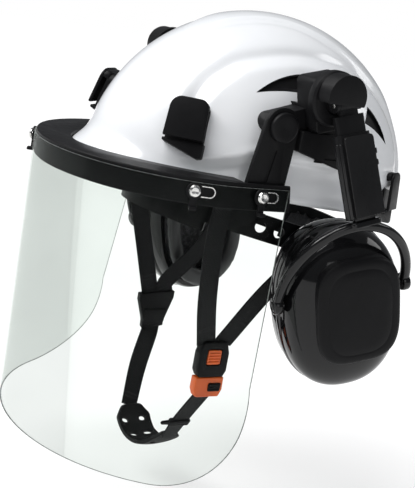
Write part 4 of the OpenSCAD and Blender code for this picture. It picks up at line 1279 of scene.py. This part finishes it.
def chin_straps():
    """The near strap runs from the tongue at one end to the cup at the other and rides on no body; the far
    one stays on the helmet.
    """
    top, end = BUCKLE + Vector((0, 0, -BUCKLE_HALF - 18.8)), chin_end(1)
    path = [top + Vector((0, 0, 6)), top.lerp(end, 0.5) + Vector((0, -3, 0)), end + Vector((0.9, 0, 0))]
    r = Ribbon(path, [(0, 1, 0), (0, 1, 0), (-0.22, 0.97, 0)])
    lower = strap_piece("chin_strap_left_woven", [r], None, "chin_strap_left")
    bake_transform(lower)
    loop = keeper(r.at(0.62), "chin_keeper_left", None, tab=-9)
    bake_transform(loop)
    top, end = DIVIDER + Vector((0, 0, -12)), chin_end(-1)
    path = [top, top + Vector((1, -1, -11)), top.lerp(end, 0.55) + Vector((0, -2, 0))]
    path.append(end + Vector((-0.9, 0, 0)))
    r = Ribbon(path, [(0, 1, 0), (0, 1, 0), (0, 1, 0), (-0.22, 0.97, 0)])
    strap_piece("chin_strap_right_woven", [r], "helmet", "chin_strap_right")
    keeper(r.at(0.13), "divider_keeper", "helmet", 21, 8, 5.4)
    stitches([r], (0.92,), "chin_strap_stitching")


def buckle():
    at = Matrix.Translation(BUCKLE)
    half = BUCKLE_HALF
    outline = [(-10.5, half, 3), (10.5, half, 3), (13.6, 5, 4), (13.6, -10, 3)]
    outline += [(11, -half, 2), (-11, -half, 2), (-13.6, -10, 3), (-13.6, 5, 4)]
    o = block(prism_x(rounded(outline), -4.6, 4.6), at, 1.3, 3)
    verts, faces = box_mesh((-2.2, 2.2), (-9.2, 9.2), (-20, 6))
    boolean(o, raw(placed(verts, at), faces))
    boolean(o, block(prism_x(box_outline(-6.8, 6.8, -5, 9, 2), 1, 9), at, 0.6))
    finish(o, "buckle_body_moulded", SATIN, "helmet", "buckle_body")
    button = block(prism_x(box_outline(-6, 6, -4, 8, 1.4), 2.55, 4.9), at, 0.5, 3)
    for z in (-2.6, -0.2, 2.2, 4.6):
        join(button, block(prism_x(box_outline(-5, 5, z, z + 1.2, 0.5), 4.5, 5.7), at, 0.35, 3))
    finish(button, "buckle_button_moulded", ORANGE, "release_button", "buckle_button")
    at = at @ move(0, 0, -half)
    body = [(-12.8, -0.3, 1), (12.8, -0.3, 1), (13, -11, 2), (10.5, -17, 2), (-10.5, -17, 2), (-13, -11, 2)]
    tongue = block(prism_x(rounded(body), -4, 4), at, 1.0, 3)
    blade = block(prism_x(rounded([(-9, -1, 0.4), (9, -1, 0.4), (8, 19, 2), (-8, 19, 2)]), -2, 1), at, 0.4)
    finish(join(tongue, blade), "buckle_tongue_moulded", ORANGE, "tongue", "buckle_tongue")
    outline = rounded([(-1, -12, 1.2), (10, -12, 1.2), (10.6, -5, 1.2), (-1, -5, 1.2)])
    bar = block(prism_x(outline, 3, 5.4), at, 0.7, 3)
    for z in (-10.8, -8.8, -6.8):
        join(bar, block(prism_x(box_outline(0, 9, z, z + 0.8, 0.3), 5, 5.9), at, 0.25))
    finish(bar, "tongue_adjuster", SATIN, "tongue")


def chin_cup():
    """Cut flat with its lobes and holes, then rolled to the chin's curve."""
    radius = ((CHIN_W / 2) ** 2 + CHIN_SAG**2) / (2 * CHIN_SAG)
    half = radius * math.asin(CHIN_W / 2 / radius)
    steps, rows = 56, 22
    rings = []
    for i in range(steps + 1):
        s = half * (2 * i / steps - 1)
        low = [(s, CHIN_DEPTH / 2 * (2 * j / rows - 1), 0) for j in range(rows + 1)]
        rings.append(low + [(x, y, CHIN_WALL) for x, y, _ in low[::-1]])
    o = raw(*skin(rings))
    h, d = half, CHIN_DEPTH / 2
    lobes = [(-1, -0.5, 6), (-0.72, -0.92, 7), (-0.2, -1, 9), (0.3, -1, 9), (0.8, -0.8, 7), (1, -0.35, 5)]
    lobes += [(1, 0.45, 5), (0.75, 0.95, 7), (0.25, 0.86, 9), (-0.25, 0.86, 9), (-0.7, 1, 7), (-1, 0.6, 6)]
    lobes = rounded([(x * h, y * d, r) for x, y, r in lobes], 5)
    boolean(o, raw(*prism_z(lobes, -5, 9)), "INTERSECT")
    holes = [(x * h, y * d, 2.3, 4.2) for x in (-0.62, 0.62) for y in (-0.52, 0.52)]
    holes += [(x * h, y * d, 2.6, 5.4) for x in (-0.2, 0.2) for y in (-0.42, 0.42)]
    for x, y, a, b in holes:
        boolean(o, raw(*prism_z(arc_points(x, y, a, b * 0.8, full_turn(28)), -5, 9)))
    bevel(o, 0.6, 3, 50)
    yaw = Matrix.Translation(CHIN) @ rot("Z", CHIN_YAW)
    for v in o.data.vertices:
        s, y, t = v.co / MM
        rim = 0.9 * smooth(abs(y) / d * 2.2 - 1.2) * (1 if t > CHIN_WALL / 2 else 0.2)
        r = radius - t - rim
        dish = 2.2 * (y / d) ** 2 * (1 - (s / h) ** 2)
        v.co = (yaw @ Vector((r * math.sin(s / radius), y, radius - r * math.cos(s / radius) + dish))) * MM
    finish(o, "chin_cup_moulded", RUBBER, "helmet", "chin_cup", 45)


side_straps()
chin_straps()
buckle()
chin_cup()


# ---- cradle, headband and pads ------------------------------------------------------
CRADLE_TOP, CRADLE_T, ANCHOR_Z = 84, 1.6, 2
CRADLE_AZ = (0, 66, 114)


def cradle_reach(az, inset=9):
    a = math.radians(az)
    w, l = SHELL_W - SHELL_WALL - inset, SHELL_L - SHELL_WALL - inset
    return 1 / math.hypot(math.sin(a) / w, math.cos(a) / l)


def cradle():
    ribbons = []
    for k, az in enumerate(CRADLE_AZ):
        path = []
        out = Vector((math.sin(math.radians(az)), -math.cos(math.radians(az)), 0))
        for i in range(13):
            a = math.pi * i / 12
            reach = cradle_reach(az) if a < math.pi / 2 else cradle_reach(az + 180)
            rise = CRADLE_TOP - ANCHOR_Z + 1.7 * k * math.sin(a) ** 4
            height = ANCHOR_Z + (rise - CRADLE_T / 2) * math.sin(a)
            path.append(out * ((reach - CRADLE_T / 2) * math.cos(a)) + Vector((0, 0, height)))
        side = Vector((-out.y, out.x, 0))
        ribbons.append(Ribbon(path, [side, side], 20, CRADLE_T, 5))
    strap_piece("cradle_straps_woven", ribbons, "helmet", "cradle_straps")
    stitches(ribbons, (0.06, 0.94), "cradle_stitching")
    for name in ("cradle_anchors", "strap_anchors", "headband", "nape_housing"):
        soften(name, SATIN)
    soften("strap_divider", SATIN, 1.1, 3)
    for name in ("nape_tail_left", "nape_tail_right", "ratchet_pinion"):
        soften(name, SATIN, 0.15, 1)
    soften("ratchet_knob", RUBBER, 0.6, 3)


def band_point(angle, out):
    front = BAND_FRONT - NAPE_R if abs(angle) < 90 else 0
    a = math.radians(angle)
    return (NAPE_R + out) * math.sin(a), -(NAPE_R + out + front) * math.cos(a)


def arc_pad(name, node, low, high, inner, outer, z0, z1, channels):
    """A padded strip inside the headband, swollen by cloth, with sewn channels across it."""
    steps, rows = 90, 10
    rings = []
    for i in range(steps + 1):
        angle = mix(low, high, i / steps)
        ring = []
        for j in range(2 * rows):
            t = 2 * math.pi * j / (2 * rows)
            depth = mix(inner, outer, 0.5 + 0.5 * spow(math.cos(t), 0.7))
            taper = max(0.25, math.sqrt(max(0.0, 1 - (abs(2 * i / steps - 1)) ** 10)))
            x, y = band_point(angle, depth)
            ring.append((x, y, mix(z0, z1, 0.5 + 0.5 * taper * spow(math.sin(t), 0.7))))
        rings.append(ring)
    verts, faces = skin(rings)
    o = raw(placed(verts, BAND), faces)
    puff(o, 3, 2.2, 3.4)
    inverse = BAND.inverted()
    half, mid = (z1 - z0) / 2, (z0 + z1) / 2
    for v in o.data.vertices:
        p = inverse @ (v.co / MM)
        angle = math.degrees(math.atan2(p.x, -p.y))
        r, limit = math.hypot(p.x, p.y), math.hypot(*band_point(angle, outer + 0.1))
        groove = max(math.exp(-(((angle - c) / 1.1) ** 2)) for c in channels)
        groove = max(groove, 0.7 * math.exp(-(((abs(p.z - mid) - half + 3.2) / 0.9) ** 2)))
        wanted = min(r, limit) + (1.5 * groove if r < limit - (outer - inner) / 2 else 0)
        p.x, p.y = p.x * wanted / r, p.y * wanted / r
        v.co = (BAND @ p) * MM
    finish(o, name, KNIT, "helmet", node, 60)


def crown_pad():
    base = CRADLE_TOP - CRADLE_T - 6
    profile = [(0, 0), (18, -1.7), (32, -5), (36, -4.8), (37, -4.2)]
    profile += [(36, -3.4), (32, -1), (18, 3.2), (0, 4.8)]
    profile = [(r, h + base - 0.6) for r, h in profile]
    verts, faces = lathe([(max(r, 0.01), h) for r, h in profile], 72)
    o = raw(verts, faces)
    puff(o, 3, 2.0, 3.4)
    for v in o.data.vertices:
        p = v.co / MM
        r, a = math.hypot(p.x, p.y), math.atan2(p.y, p.x)
        ceiling = CRADLE_TOP - CRADLE_T - 0.4 - 0.0052 * r * r
        spokes = math.exp(-((math.sin(3 * a) * r / 3.6) ** 2)) * smooth((r - 5) / 5) * smooth((34 - r) / 4)
        ring = math.exp(-(((r - 12) / 1.1) ** 2)) + math.exp(-(((r - 33) / 1.0) ** 2))
        under = p.z < base - 0.3 - 0.0045 * r * r
        p.z = min(p.z, ceiling) + (1.3 * min(1.0, spokes + ring) if under else 0)
        v.co = p * MM
    finish(o, "crown_pad_sewn", KNIT, "helmet", "crown_pad", 60)


cradle()
arc_pad("brow_pad_sewn", "brow_pad", -43, 43, -5.2, -0.5, -15.5, 13.5, (-22, 0, 22))
arc_pad("nape_pad_sewn", "nape_pad", 147.5, 212.5, -9, -5.6, -13, 13, (165, 180, -180, -165))
crown_pad()


for pin in ("visor_pivot_pins", "hinge_pin_left", "hinge_pin_right"):
    soften(pin, STEEL, 0.3)


# ---- studio -----------------------------------------------------------------
FLOOR_Z = -0.285


def lamp(name, kind, place, power, **values):
    data = bpy.data.lights.new(name, kind)
    data.energy = power
    for key, value in values.items():
        setattr(data, key, value)
    light = link(name, data)
    light.location = place
    light.rotation_euler = (Vector((0, 0, -0.05)) - light.location).to_track_quat("-Z", "Y").to_euler()


def studio():
    """A pale floor, a world that the camera sees as white but that lights dimly, and four lamps."""
    mesh = bpy.data.meshes.new("floor")
    s = 6.0
    corners = [(-s, -s, FLOOR_Z), (s, -s, FLOOR_Z), (s, s, FLOOR_Z), (-s, s, FLOOR_Z)]
    mesh.from_pydata(corners, [], [(0, 1, 2, 3)])
    mesh.materials.append(floor_material())
    link("floor", mesh)
    world = bpy.data.worlds.new("studio")
    bpy.context.scene.world = world
    world.use_nodes = True
    nodes, links = world.node_tree.nodes, world.node_tree.links
    dim = nodes["Background"]
    dim.inputs["Color"].default_value = (0.92, 0.95, 1, 1)
    dim.inputs["Strength"].default_value = 0.2
    white, seen, both = (nodes.new("ShaderNode" + kind) for kind in ("Background", "LightPath", "MixShader"))
    white.inputs["Color"].default_value = (1, 1, 1, 1)
    links.new(seen.outputs["Is Camera Ray"], both.inputs[0])
    links.new(dim.outputs[0], both.inputs[1])
    links.new(white.outputs[0], both.inputs[2])
    links.new(both.outputs[0], nodes["World Output"].inputs["Surface"])
    lamp("sky", "SUN", (-0.35, -0.75, 1.25), 3.3, angle=math.radians(50))
    lamp("key", "AREA", (-0.9, -1.7, 1.5), 18, size=0.9)
    lamp("fill", "AREA", (2.2, -0.6, 0.5), 5, size=1.0)
    lamp("rim", "AREA", (0.6, 1.9, 1.5), 10, size=1.0)
    bpy.context.scene.view_settings.view_transform = "Standard"


studio()
